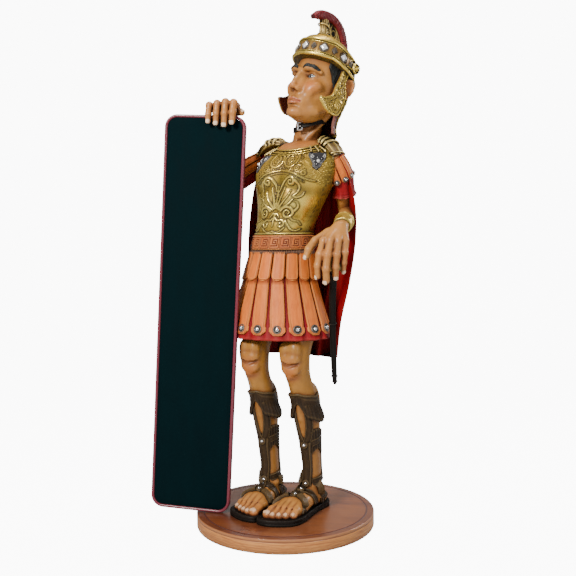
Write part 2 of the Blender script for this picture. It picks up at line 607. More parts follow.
def makePlinth():
    radius, top, edge = plinth["diameter"] / 2, plinth["thickness"], plinth["edgeRound"]
    border = 0.028  # width of the sunk dark line's ring, in from the edge
    profile, marks = [(0.0005, top)], [(0, 0, 0)]
    for share in (0.2, 0.4, 0.6, 0.75, 0.85):
        profile.append((radius * share, top))
        marks.append((0, 0, 0))
    for r, z, dark in ((border + 0.004, 0, 0), (border + 0.001, 0, 0.9), (border, -0.0012, 1),
                       (border - 0.0016, -0.0012, 1),
                       (border - 0.0026, 0, 0.9), (border - 0.006, 0, 0.25), (edge + 0.004, 0, 0.35),
                       (edge + 0.001, 0, 0.6)):
        profile.append((radius - r, top + z))
        marks.append((0, dark, 0))
    for k in range(7):
        a = math.pi / 2 * k / 6
        profile.append((radius - edge + edge * math.sin(a), top - edge + edge * math.cos(a)))
        marks.append((1 if k > 3 else 0, 0.2 if k < 3 else 0, 1 if 2 <= k <= 5 else 0))
    for z, inset, light, dark in ((top - edge - 0.001, 0, 1, 0), (top - 0.0085, 0, 0.5, 0.0),
                                  (top - 0.0095, 0.0009, 0, 0.8),
                                  (top - 0.0112, 0.0009, 0, 0.8), (top - 0.0122, 0, 0.2, 0), (0.034, 0, 0, 0),
                                  (0.022, 0, 0, 0),
                                  (0.012, 0, 0, 0), (edge, 0, 0, 0.15), (edge * 0.3, edge * 0.3, 0, 0.4)):
        profile.append((radius - inset, z))
        marks.append((1, dark, light))
    profile += [(radius - edge, 0), (0.0005, 0)]
    marks += [(1, 0.5, 0), (1, 0, 0)]
    angle, p = roundAngles(240), np.array(profile)[:, None]
    rings = [p[..., 0] * np.cos(angle), p[..., 0] * np.sin(angle), np.repeat(p[..., 1], len(angle), 1)]
    side, dark, light = [np.repeat(m[:, None], len(angle), 1) for m in np.array(marks, float).T]
    disc = Shape().loft(np.stack(rings, -1), side=side, rimDark=dark, rimLight=light)
    disc.piece("plinth_board", plinthWood, Matrix.Identity(4), "plinth", "plinth_wood", sharp=60)


def boardOutline(inset, depth):  # points round the board, moved in by inset
    radius = max(board["cornerRadius"] - inset, 0.001)
    low, high = board["cornerRadius"], board["height"] - board["cornerRadius"]
    x = board["width"] / 2 - board["cornerRadius"]
    points = []
    corners = ((x, low), (x, high), (-x, high), (-x, low))
    for n, (cx, cz) in enumerate(corners):
        for a in math.pi / 2 * (n - 1 + np.arange(17) / 16):
            points.append((cx + radius * math.cos(a), depth, cz + radius * math.sin(a)))
        nx, nz = corners[(n + 1) % 4]
        for t in np.linspace(0, 1, 40)[1:-1]:
            x1, z1 = cx + (nx - cx) * t, cz + (nz - cz) * t
            points.append((x1 + radius * math.cos(a), depth, z1 + radius * math.sin(a)))
    return points


def makeBoard():
    deep, wide = board["frameThickness"], board["frameWidth"]
    section = []
    for k in range(9):  # the rounded front of the edging
        a = math.pi * k / 8
        section.append((wide / 2 - wide / 2 * math.cos(a), 0.0045 - 0.0045 * math.sin(a)))
    section += [(wide, deep - 0.002), (wide - 0.001, deep), (0.003, deep), (0.0008, deep - 0.0012),
                (0, deep - 0.003)]
    points = np.array([boardOutline(*s) for s in section])
    rows, columns = points.shape[:2]
    i, j = np.meshgrid(np.arange(rows), np.arange(columns), indexing="ij")
    k, l = (i + 1) % rows, (j + 1) % columns
    faces = np.stack([i * columns + j, i * columns + l, k * columns + l, k * columns + j], -1).reshape(-1, 4)
    Shape().add(points, faces).piece("board_edging", rimRed, boardPlace, "board_frame", "board_rim", sharp=50)
    thick = board["panelThickness"]
    front = (deep - thick) / 2
    layers = ((0.06, 0), (0.02, 0), (0.0012, 0), (0.0003, 0.0004), (0, 0.0012), (0, thick - 0.0012),
              (0.001, thick), (0.03, thick))
    panel = Shape().loft([boardOutline(wide + board["gap"] + i, front + d) for i, d in layers])
    panel.piece("board_panel_painted", boardSlate, boardPlace, "board_panel", "board_face", sharp=50)


makePlinth()
makeBoard()
print("plinth and board made")


# Breastplate: level ovals from the hips to the neck's root (x, y, z, half width, half depth)
torsoLevels = np.array([
    (-7, 0, 925, 110, 86), (-4, 0, 962, 111, 86), (5, 0, 1002, 107, 85), (16, 2, 1050, 111, 88),
    (31, 4, 1110, 125, 97),
    (44, 6, 1168, 145, 105), (52, 8, 1215, 155, 108), (60, 12, 1255, 150, 100), (68, 18, 1290, 128, 82),
    (76, 26, 1322, 74, 56)], float)


def plateForm(points, angle):
    # chest, rib arch and belly stand out, and the line down the middle sinks
    z, front, side = points[..., 2], np.maximum(np.cos(angle), 0), np.abs(np.sin(angle))
    chest = smoothStep(z, 1164, 1190) * smoothStep(z, 1268, 1212)
    out = 17 * bump(side, 0.46, 0.27) * chest + 9 * bump(side, 0.34, 0.25) * bump(z, 1112, 32)
    out = out + 8 * bump(z, 1030, 32) - 5 * bump(np.sin(angle), 0, 0.12) * bump(z, 1150, 80)
    out = out - 6 * bump(side, 0.52, 0.28) * bump(z, 1156 - 30 * (side - 0.5), 11)  # fold below the chest
    out = out - 5 * bump(side, 0.58, 0.2) * bump(z, 1070, 16)
    moved = points.copy()
    moved[..., 1] -= front * out
    return moved


def onTorso(angle, z, lift=0.0):
    return plateForm(onOvals(torsoLevels, angle, z, lift), np.asarray(angle, float))


def spiral(cx, cz, start, turns, outer, inner, count=26, flip=1):
    t = np.linspace(0, 1, count)
    a = math.radians(start) + flip * tau * turns * t
    r = outer + (inner - outer) * t ** 0.8
    return np.stack([cx + r * np.cos(a), cz + r * np.sin(a)], -1)


# raised strokes on the breastplate's left half: path (across, height), half width at start and end, height
scrollwork = [
    (spline([(5, 1150), (13, 1172), (28, 1192)], 8), 3, 5, 4.5),
    (spiral(45, 1183, 135, -1.25, 17, 4.5), 5, 2.6, 4.5),
    (spline([(62, 1186), (72, 1168), (69, 1147), (58, 1134)], 8), 5, 2, 3.5),
    (spline([(58, 1134), (70, 1128), (84, 1134), (90, 1146)], 6), 4, 1.5, 3),
    (spline([(4, 1094), (11, 1120), (20, 1146), (25, 1164)], 8), 5.5, 2, 4.5),
    (spline([(8, 1092), (25, 1112), (41, 1134), (47, 1152)], 8), 5.0, 1.8, 4),
    (spline([(12, 1088), (34, 1098), (52, 1112), (60, 1126)], 8), 4.5, 1.5, 3.5),
    (spiral(44, 1076, 160, -1.6, 24, 5), 5.2, 2.4, 4.5),
    (spline([(66, 1082), (76, 1096), (72, 1112), (62, 1116)], 8), 4, 1.5, 3),
    (spline([(4, 1058), (14, 1050), (26, 1052)], 6), 4.5, 2.2, 4),
    (spiral(29, 1037, 100, -1.1, 15, 4), 4.0, 2.0, 3.5),
    (spline([(0, 1012), (16, 1008), (32, 1014), (44, 1026)], 8), 3.4, 2, 3),
    (spline([(44, 1048), (56, 1030), (66, 1018), (80, 1014), (90, 1020)], 8), 3.6, 1.6, 3),
    (spline([(52, 1064), (66, 1050), (82, 1046), (90, 1034)], 8), 3.2, 1.4, 2.5),
    (spline([(0, 1222), (30, 1217), (62, 1207), (92, 1190), (118, 1182)], 8), 2.8, 2.2, 3),
    (spline([(0, 1212), (28, 1208), (58, 1198), (88, 1180)], 8), 2.0, 1.6, 2.2),
    (spiral(28, 1258, 0, 1.0, 25, 25), 3.4, 3.4, 3.8),
    (spiral(28, 1258, 90, 1.4, 14, 3), 2.8, 2.0, 3.0),
    (spiral(62, 1228, 40, 1.3, 13, 3), 3.0, 1.6, 3),
    (spiral(32, 1228, 200, 1.2, 10, 3), 2.6, 1.4, 2.6),
    (spiral(88, 1210, 80, 1.2, 10, 3), 2.8, 1.4, 2.6),
    (spiral(9, 1230, 0, 1.1, 7, 2), 2.2, 1.4, 2.4),
    (spiral(60, 1262, 120, 1.3, 9, 2), 2.4, 1.4, 2.4),
    (spiral(10, 1134, 60, 0.8, 8, 3), 2.4, 1.4, 2),
    (spline([(0, 1168), (0, 1150), (0, 1120), (0, 1096)], 6), 2.5, 4.5, 4.5),
    (spline([(0, 1072), (0, 1060), (0, 1046), (0, 1030)], 6), 5.5, 2.5, 4.5),
    (spline([(6, 1074), (14, 1066), (18, 1060)], 6), 3.4, 2.0, 3.5),
]


def strokeRelief(u, v, strokes):  # height of raised strokes, and how much dark wash lies beside them
    shape, u, v = u.shape, u.ravel(), v.ravel()
    high, groove = np.zeros(len(u)), np.full(len(u), 9.0)
    for path, w0, w1, tall in strokes:
        lo, hi = path.min(0) - 12, path.max(0) + 12
        near = np.flatnonzero((u > lo[0]) & (u < hi[0]) & (v > lo[1]) & (v < hi[1]))
        if not len(near):
            continue
        p = np.stack([u[near], v[near]], -1)
        best, width = np.full(len(near), 99.0), np.full(len(near), w0, float)
        n = len(path) - 1
        for i in range(n):
            away, t = fromStretch(p, path[i], path[i + 1])
            closer = away < best
            best = np.where(closer, away, best)
            width = np.where(closer, w0 + (w1 - w0) * (i + t) / n, width)
        rise = tall * np.sqrt(np.clip(1 - (best / width) ** 2, 0, 1))
        high[near] = np.maximum(high[near], rise)
        groove[near] = np.minimum(groove[near], np.abs(best - width - 0.6) + np.where(best < width, 1.2, 0))
    return high.reshape(shape), groove.reshape(shape)


def warpedAngles(count):  # angles round a body, close together in front
    return roundAngles(count) - 0.6 * np.sin(roundAngles(count))


breastplate = dict(low=1000, neckline=1316, scoop=25, rolledEdge=5.5, columns=236, rows=146)


def plateTop(angle):  # the breastplate's upper edge: it scoops down in front of the neck
    return breastplate["neckline"] - breastplate["scoop"] * np.maximum(np.cos(angle), 0) ** 2.2


def makeBreastplate():
    low = breastplate["low"]
    a, share = np.meshgrid(warpedAngles(breastplate["columns"]), np.linspace(0, 1, breastplate["rows"]))
    h = low + (plateTop(a) - low) * share
    across = np.abs(ovals(torsoLevels, h)[2] * np.sin(a))
    front, side = np.cos(a) > 0.05, np.abs(np.sin(a))
    rise, groove = strokeRelief(np.where(front, across, 500), h, scrollwork)
    upper = smoothStep(h - (1219 - 0.0032 * across ** 2), -2, 4) * smoothStep(h, 1150, 1180)
    upper = upper * smoothStep(np.cos(a), 0.0, 0.2)
    curls = np.sin(across * 0.55 + 2.2 * np.sin(h * 0.21)) * np.sin(h * 0.62 + 1.9 * np.sin(across * 0.17 + 1))
    chased = smoothStep(curls, 0.1, 0.5) * upper
    rise = rise + np.where(rise < 0.3, chased * 1.8, 0) + breastplate["rolledEdge"] * bump(h, low + 3.5, 3.2)
    points = onTorso(a, h) + unit(np.stack([np.sin(a), -np.cos(a), 0 * a], -1)) * rise[..., None]
    arm = np.abs(np.abs(np.arctan2(np.sin(a), np.cos(a))) - 1.45)
    flecks = smoothStep(np.sin(h * 0.21 + 2.6 * np.sin(a * 13)) * np.sin(a * 31 + 1.8 * np.sin(h * 0.13)),
                        -0.1, 0.6)
    # dark beside the strokes, in the chased ground, above the rim, below the chest and at the arms
    recess = np.maximum.reduce([
        np.clip(1.85 - groove / 2.6, 0, 1) * (rise < 2.4),
        upper * (0.62 - 0.55 * chased) * smoothStep(rise, 2.5, 1.0),
        0.95 * bump(h, low + 10, 3.4),
        0.5 * bump(side, 0.52, 0.25) * bump(h, 1152 - 30 * (side - 0.5), 9) * (np.cos(a) > 0),
        smoothStep(arm, 0.42, 0.12) * smoothStep(h, 1010, 1060) * (0.35 + 0.5 * flecks)])
    edge = np.clip(np.maximum(rise / 4, chased * 0.8), 0, 1) * 0.6
    # painted shadows round the chest and ribs
    shade = 0.75 * bump(np.sin(a), 0, 0.16) * bump(h, 1172, 60) * front
    shade = shade + 0.9 * bump(side, 0.55, 0.4) * bump(h, 1158 - 30 * (side - 0.5), 20) * front
    shade = shade + 0.6 * bump(side, 0.6, 0.35) * bump(h, 1072, 26) * front + 0.5 * smoothStep(side, 0.78,
                                                                                               0.98)
    shade = np.clip(shade + 0.5 * smoothStep(h, 1040, 1012), 0, 1) * (rise < 1.2)
    light = bump(side, 0.5, 0.3) * (bump(h, 1196, 24) + bump(h, 1112, 26) + 0.9 * bump(h, 1038, 16)) * front
    shine = np.clip(light + 0.9 * smoothStep(rise, 1.4, 2.6) * (h < 1185), 0, 1) * (1 - 0.6 * upper)
    Shape().loft(points, recess=recess, edge=edge, shade=shade, shine=shine).piece("breastplate", gold,
                                                                                   sharp=80)
    # bare chest inside the neckline
    around = warpedAngles(160)
    outside = onTorso(around, plateTop(around) - 8, -5)
    neck = np.stack([84 + 46 * np.sin(around), 30 - 44 * np.cos(around), 1330 + 0 * around], -1)
    share = np.linspace(0, 1, 16)
    rings = [outside + (neck - outside) * t + [0, 0, 9 * math.sin(t * math.pi)] for t in share]
    hollow = 0.5 * bump(share, 0.55, 0.3)[:, None] * np.maximum(np.cos(around), 0)
    Shape().loft(rings, caps=False, blush=hollow, shade=hollow * 0.8).piece("bare_chest", skin, sharp=180)


def cordRound(shape, angles, centres, radii, out=1.0, up=1.0, tilt=0.0, sides=12, **marks):
    # a cord laid round a body
    radial = unit(np.stack([np.sin(angles), -np.cos(angles), 0 * angles + tilt], -1))
    b = roundAngles(sides)
    rings = (centres[:, None] + radial[:, None] * (radii[:, None] * out * np.cos(b))[..., None]
             + np.array((0, 0, up)) * (radii[:, None] * np.sin(b))[..., None])
    shape.loft(np.vstack([rings, rings[:1]]), caps=False, **marks)


def ridgedTube(shape, path, wide, deep, ridges, tall):
    # a plate with raised cords running along it
    s = spline([(*p, w, d) for p, w, d in zip(path, wide, deep)], 10)
    _, side, up = frameAlong(s, (0, 1, 0))
    angle = roundAngles(64)
    lift = tall * np.maximum(np.cos(angle * ridges), -0.2)
    rings = pipeRings(s, side, up, lift, angle)
    edge = np.broadcast_to(np.clip(lift / tall, 0, 1) * 0.7, rings.shape[:2])
    return shape.loft(rings, edge=edge, recess=(1 - edge) * 0.55)


# each: how far down, how far out, thickness
collar = dict(cords=((0, 1.0, 4.2), (9, 3.0, 3.0), (16, 2.5, 2.2)),
              plates=(((-4, 28, 1326), (-40, 32, 1330), (-78, 36, 1316), (-106, 38, 1288)),
                      ((140, 28, 1326), (166, 32, 1321), (192, 36, 1299), (207, 38, 1274))),
              bands=(0.26, 0.38, 0.50, 0.90))


def makeCollar():
    rim, plates = Shape(), Shape()
    a = roundAngles(220)
    for drop, lift, thick in collar["cords"]:  # rolled cords along the neckline
        twist = 1 + 0.16 * np.sin(np.arange(len(a)) * tau / 4) * (drop > 0)
        cordRound(rim, a, onTorso(a, plateTop(a) - drop, lift), thick * twist, tilt=0.35, edge=0.55)
    rim.piece("collar_cords", gold, sharp=60)
    for path in collar["plates"]:
        ridgedTube(plates, path, (33, 42, 46, 41), (11, 16, 16, 11), 7, 3.0)
        s = spline([(*p, w, d) for p, w, d in zip(path, (33, 44, 48, 42), (11, 17, 17, 11))], 10)
        for k, t in enumerate(collar["bands"]):  # bands across the plate
            i = int(t * (len(s) - 1))
            up = np.cross(unit(s[i + 1, :3] - s[i - 1, :3]), (0, 1, 0))
            up = unit(up) * (-1 if up[2] < 0 else 1)
            wide, deep = s[i, 3] + 3, s[i, 4] + 3.4
            ring = [s[i, :3] + (0, wide * math.cos(b), 0) + up * deep * math.sin(b)
                    for b in np.linspace(-0.25, math.pi + 0.25, 40)]
            tubeAlong(plates, ring, 4.2 if k < 3 else 2.6, edge=0.8)
    plates.piece("shoulder_plates", darkGold, sharp=70)


def tubeAlong(shape, path, radius, sides=8, closed=False, up=(0.13, 0.21, 0.97), **marks):
    # a cord of one thickness that follows a line of points
    p = np.asarray(path, float)
    along = unit(np.roll(p, -1, 0) - np.roll(p, 1, 0)) if closed else unit(np.gradient(p, axis=0))
    wide = unit(np.cross(along, np.asarray(up, float)))
    deep = np.cross(wide, along)
    r, angle = np.broadcast_to(np.asarray(radius, float), len(p))[:, None, None], roundAngles(sides)[:, None]
    rings = p[:, None] + wide[:, None] * r * np.cos(angle) + deep[:, None] * r * np.sin(angle)
    return shape.loft(np.vstack([rings, rings[:1]]) if closed else rings, caps=not closed, **marks)


badge = dict(angle=0.86, top=1280, point=1222, half=0.29, boss=(1251, 6.5))


def makeBadges():  # dark tie plates at the shoulders, with silver curls and a bright boss
    dark, light, straps = Shape(), Shape(), Shape()

    def outline(t):
        return np.clip(1.0 - 0.62 * smoothStep(t, 0.05, 0.8) - 0.3 * smoothStep(t, 0.8, 1.0), 0.06, 1)

    for turn in (-1, 1):
        middle = badge["angle"] * turn
        strap(dark, badge["top"], badge["point"], badge["half"], 4.0, outline, 6, middle, onTorso, rows=36,
              columns=22)
        normal = unit((math.sin(middle), -math.cos(middle), 0.15))
        centre = onTorso(middle, badge["boss"][0], 6.5)
        size = badge["boss"][1]
        for r, h in ((size, 0), (size * 0.55, 3)):
            light.turned([(r, h), (r * 0.9, h + 2.5), (1.5, h + 4.5), (0, h + 5)], centre, normal, 20)
        for k in range(5):  # petals round the boss
            b = tau * (k + 0.5) / 5
            spot = onTorso(middle + 0.10 * math.cos(b), badge["boss"][0] + 12 * math.sin(b), 6.5)
            light.turned([(1.6, 0), (1.3, 1.6), (0, 2.2)], spot, normal, 8)
        for flip in (1, -1):
            curl = spiral(0, 0, 90, 1.2, 7, 2, 22, flip)
            path = [onTorso(middle - 0.16 * flip + u / 120, 1268 + v, 6.0) for u, v in curl]
            tubeAlong(light, path, np.linspace(1.3, 0.7, len(path)))
        for s in (-0.22, 0.0, 0.22):  # cords from the tie plate up to the neckline
            path = [onTorso(middle * (1 - 0.10 * k) + s * (1 - 0.3 * k), 1284 + 28 * k, 7.5)
                    for k in np.linspace(0, 0.72, 8)]
            tubeAlong(straps, path, 3.0, edge=0.8)
    dark.piece("shoulder_tie_plates", darkSilver, sharp=40)
    light.piece("tie_plate_bosses", whitePaint, sharp=60)
    straps.piece("tie_cords", darkGold, sharp=60)


belt = dict(low=948, high=998, squares=18, keyDepth=2.2, columns=800, cordHeight=938.5, cordTurns=120)


def keyPattern(u, v):
    # one Greek key square: u and v run from 0 to 1 across it; the answer is the distance to its line
    path = np.array([(0.12, 0.12), (0.88, 0.12), (0.88, 0.88), (0.30, 0.88), (0.30, 0.36), (0.66, 0.36),
                     (0.66, 0.64),
                     (0.48, 0.64)])
    p = np.stack([u.ravel(), v.ravel()], -1)
    return np.min([fromStretch(p, a, b)[0] for a, b in zip(path, path[1:])], axis=0).reshape(u.shape)


def makeBelt():
    low, high = belt["low"], belt["high"]
    z = np.concatenate([[low - 2, low - 1], np.linspace(low, high, 34), [high + 1, high + 2]])
    a, h = np.meshgrid(roundAngles(belt["columns"]), z)
    v = (h - low) / (high - low)
    square = a / tau * belt["squares"]
    u = square % 1.0
    line = keyPattern(np.clip((u - 0.14) / 0.72, 0, 1), np.clip((v - 0.2) / 0.6, 0, 1))
    inside = (np.abs(u - 0.5) < 0.40) & (np.abs(v - 0.5) < 0.36)
    cut = np.where(inside, smoothStep(line, 0.09, 0.03), 0)
    frameLine = smoothStep(np.abs(np.maximum(np.abs(u - 0.5) / 0.44, np.abs(v - 0.5) / 0.40) - 1), 0.10, 0.03)
    border = bump(v, 0.05, 0.028) + bump(v, 0.95, 0.028)
    lift = 9.0 * np.clip(np.minimum((h - low + 3) / 3, (high + 3.5 - h) / 3), 0.2, 1)
    lift = lift - belt["keyDepth"] * cut - 1.6 * frameLine + 2.0 * border
    leather = Shape().loft(onOvals(torsoLevels, a, h, lift), recess=np.clip(cut + frameLine * 0.9, 0, 1),
                           edge=np.clip(border, 0, 1) * 0.8, shade=0.25 * (np.floor(square) % 2))
    leather.piece("greek_key_belt", beltLeather, sharp=80)
    cord = Shape()
    t = roundAngles(belt["cordTurns"] * 6)
    centres = onOvals(torsoLevels, t, belt["cordHeight"] + 0.5, 8.5) - [0, 0, 0.5]
    cordRound(cord, t, centres, 5.6 + np.sin(tau * np.arange(len(t)) / 6), up=1.25, recess=0.2)
    cord.piece("belt_cord", cordPaint, sharp=80)


# Skirt: level ovals from the hem up to the belt
skirtLevels = [(-18, 4, 636, 192, 153), (-17, 0, 740, 162, 128), (-15, -2, 840, 131, 104),
               (-7, 0, 935, 110, 86)]
skirt = dict(strips=16, stripEnd=660, flapEnd=846, stripLift=8.5, flapLift=14.5, point=15)


def onSkirt(angle, z, lift=0.0):
    return onOvals(skirtLevels, angle, z, lift)


def strap(shape, top, end, halfAngle, lift, outline, thick, middle, surface, covered=0.0, wave=0.0, rows=28,
          columns=16):
    # one hanging strap on a body: outline(t) is its half width share from its top to its end
    t = np.concatenate([np.linspace(0, 0.82, rows // 2), np.linspace(0.82, 1, rows // 2 + 1)[1:]])
    tt, ss = np.meshgrid(t, np.linspace(-1, 1, columns), indexing="ij")
    half = outline(tt)
    angle = middle + ss * half * halfAngle
    z = top + (end - top) * tt
    away = np.minimum((1 - np.abs(ss)) * half * halfAngle * 150, (1 - tt) * abs(top - end) * 0.9 + 0.5)
    line = bump(away, 2.2, 1.5) + 0.8 * bump(away, 7.0, 1.5)
    crown = 3.4 * np.cos(ss * 1.3) - 2.2
    out = lift + crown + 1.5 * line - 2.8 * np.clip(1.2 - away, 0, 1) + wave * np.sin(tt * 5 + middle * 7)
    recess = np.clip(bump(away, 4.6, 1.4) + covered * smoothStep(z, end + 172, end + 190), 0, 1)
    shape.sheet(surface(angle, z, out), surface(angle, z, lift - thick), under=dict(shade=0.9),
                recess=recess, edge=np.clip(line, 0, 1) * 0.8, shade=0 * z)


def stripOutline(t):  # a pointed, eight-sided end
    fromEnd = (1 - t) * (935 - skirt["stripEnd"] + skirt["point"])
    taper = np.where(fromEnd < 15, 0.42 + (0.98 - 0.42) * np.clip(fromEnd / 15, 0, 1), 0.98)
    return taper * (0.99 - 0.11 * bump(t, 0.9, 0.09) * (fromEnd > 30))


def flapOutline(t):  # a round scalloped end
    fromEnd = (1 - t) * (938 - skirt["flapEnd"])
    return 0.985 * np.sqrt(np.clip(1 - np.clip(1 - fromEnd / 19, 0, 1) ** 2, 0.02, 1))


def makeSkirt():
    leather, studs, washers = Shape(), Shape(), Shape()
    half, end = math.pi / skirt["strips"], skirt["stripEnd"]
    for middle in roundAngles(skirt["strips"]):
        strap(leather, 935, end - skirt["point"] + 6, half * 0.885, skirt["stripLift"], stripOutline, 5,
              middle, onSkirt,
              covered=0.8, wave=0.8, rows=44, columns=18)
        normal = unit((math.sin(middle), -math.cos(middle), 0.28))
        centre = onSkirt(middle, end + 13, 9.5)
        washers.turned([(15.5, -3), (15.5, 1.2), (13.8, 2.8), (11.5, 2.6), (9.6, 1.0), (0, 0.8)], centre,
                       normal, 32)
        studs.turned([(8.0, 0), (8.0, 2), (7.4, 4.6), (5.8, 6.7), (3.2, 8.0), (0, 8.4)], centre, normal, 28)
    for middle in roundAngles(skirt["strips"]):
        strap(leather, 940, skirt["flapEnd"] - 6, half * 0.955, skirt["flapLift"] - 1.5, flapOutline, 6,
              middle, onSkirt,
              wave=0.5)
    leather.piece("skirt_straps", orangeLeather, sharp=50)
    washers.piece("strap_washers", darkIron, sharp=50)
    studs.piece("strap_studs", steel, sharp=80)


tunic = dict(hem=637, folds=16, columns=260)


def makeTunicHem():
    angle = roundAngles(tunic["columns"])
    a, h = np.meshgrid(angle, np.concatenate([np.linspace(940, 700, 30), np.linspace(694, tunic["hem"], 20)]))
    folds = smoothStep(h, 760, 640)
    ripple = 2.6 * np.cos(tunic["folds"] * a + 0.5) + 1.4 * np.cos(29 * a + 1.2) + 0.8 * np.sin(45 * a)
    lift = 1.0 + folds * (3 + ripple)
    outer = onSkirt(a, h - folds * 1.5 * np.cos(tunic["folds"] * a + 0.3), lift)
    low = outer[-1]
    inner = [low + (onSkirt(angle, 634, -3) - low) * 0.5 - [0, 0, 2.5], onSkirt(angle, 637, -5),
             onSkirt(angle, 700, -9), onSkirt(angle, 760, -14)]
    lightEdge, inside = smoothStep(h, 646, 637) * 0.3, np.ones((4, len(angle)))
    edge = np.concatenate([lightEdge, inside * [[0.3], [0], [0], [0]]])
    recess = np.concatenate([np.clip(0.4 * (1 - lift / 4) * folds, 0, 1), inside * 0.5])
    Shape().loft(np.concatenate([outer, inner]), edge=edge, recess=recess).piece("tunic_hem", redCloth,
                                                                                 sharp=80)


makeBreastplate()
makeCollar()
makeBadges()
makeBelt()
makeSkirt()
makeTunicHem()
print("breastplate, belt and skirt made")


rightLeg = [(-78, -22, 720, 60, 62), (-84, -36, 640, 54, 57), (-88, -50, 590, 49, 54),
            (-88, -58, 548, 49, 55),
            (-84, -52, 505, 43, 49), (-79, -38, 460, 42, 47), (-74, -24, 400, 44, 50),
            (-70, -12, 330, 40, 46),
            (-67, -4, 250, 33, 38), (-66, 2, 170, 30, 35), (-66, 6, 95, 33, 40), (-66, 8, 45, 38, 44)]
leftLeg = [(82, -8, 720, 60, 62), (78, -24, 640, 54, 57), (74, -38, 590, 50, 55), (73, -46, 546, 50, 56),
           (78, -38, 503, 44, 50), (83, -22, 458, 43, 48), (90, -6, 400, 46, 51), (95, 6, 330, 41, 47),
           (97, 18, 250, 34, 39), (96, 28, 170, 31, 36), (94, 34, 95, 34, 41), (93, 36, 45, 39, 45)]
legs = {"right": rightLeg, "left": leftLeg}
feet = {"right": dict(heel=(-68, 66), ball=(-72, -108), turn=-1),
        "left": dict(heel=(92, 92), ball=(70, -104), turn=1)}
toes = ((0.76, -76, 17), (0.36, -74, 13), (0.0, -66, 12.5), (-0.36, -56, 12), (-0.74, -42, 12))


def onLeg(side, angle, z, lift=0.0):
    return onOvals(legs[side], angle, z, lift)


def makeLegSkin(side):
    turn = 1 if side == "left" else -1
    s = legs[side]
    clay = Clay((-175 if side == "right" else 10, -135, 30), (-5 if side == "right" else 165, 105, 722), 4.2)
    clay.column(s, 2)
    kx, ky, kz, _, kd = s[3]
    # knee cap, the soft pads beside and below it, the crease under it and the calf
    clay.ball((kx + 5, ky - kd + 11, kz + 18), (33, 18, 17), 14)
    clay.ball((kx + 5, ky - kd + 12, kz - 20), (31, 15, 20), 14)
    clay.ball((kx + 3, ky - kd + 18, kz + 58), (28, 13, 18), 14)
    # folds above, across and below the cap
    for rise, bow, size in ((38, 5, 4.6), (2, -7, 4.8), (-46, -9, 4.6)):
        fold = [(kx - 24, ky - kd + 8, kz + rise - bow), (kx + 3, ky - kd - 7, kz + rise + bow),
                (kx + 32, ky - kd + 12, kz + rise - bow * 0.4)]
        clay.sticks(fold, size, 7, take=True)
    clay.ball((kx - 20, ky - kd + 20, kz + 46), (19, 20, 30), 16).ball((kx + 20, ky - kd + 20, kz + 46),
                                                                       (19, 20, 34), 16)
    x, y, _, d = ovals(s, 390)
    clay.ball((x - turn * 10, y + d - 16, 392), (27, 22, 66), 18).ball((x + turn * 13, y + d - 18, 400),
                                                                       (25, 21, 60), 16)
    shin = []
    for z in (290, 350, 410, 460):
        x, y, _, d = ovals(s, z)
        shin.append((x - 2 * turn, y - d + 9, z))
    clay.sticks(shin + [(kx, ky - kd + 16, kz - 46)], (8, 8, 8, 9, 11), 12)
    points, faces = clay.surface(4)
    px, py, pz = points.T
    front = smoothStep(-(py - ky), kd * 0.2, kd * 0.8)
    near = np.abs(px - kx - 6)
    blush = 0.62 * smoothStep(near, 46, 10) * bump(pz, kz - 8, 36)
    blush = blush + 0.4 * smoothStep(near, 36, 8) * bump(pz, kz - 44, 20)
    bow = 5 * (1 - (near / 28) ** 2)
    fold = np.maximum.reduce([0.6 * bump(pz, kz + 38 + bow, 8), bump(pz, kz + 2 - bow, 8),
                              bump(pz, kz - 46 - bow, 9)])
    shade = front * smoothStep(near, 46, 26) * fold + 0.6 * smoothStep(pz, 596, 640)
    shade = np.clip(np.maximum(shade, 0.35 * smoothStep(pz, 445, 428)), 0, 1)
    leg = Shape().add(points, faces, blush=np.clip(front * blush, 0, 1), shade=shade, ochre=0.85)
    leg.piece(f"{side}_leg", skin, sharp=180)


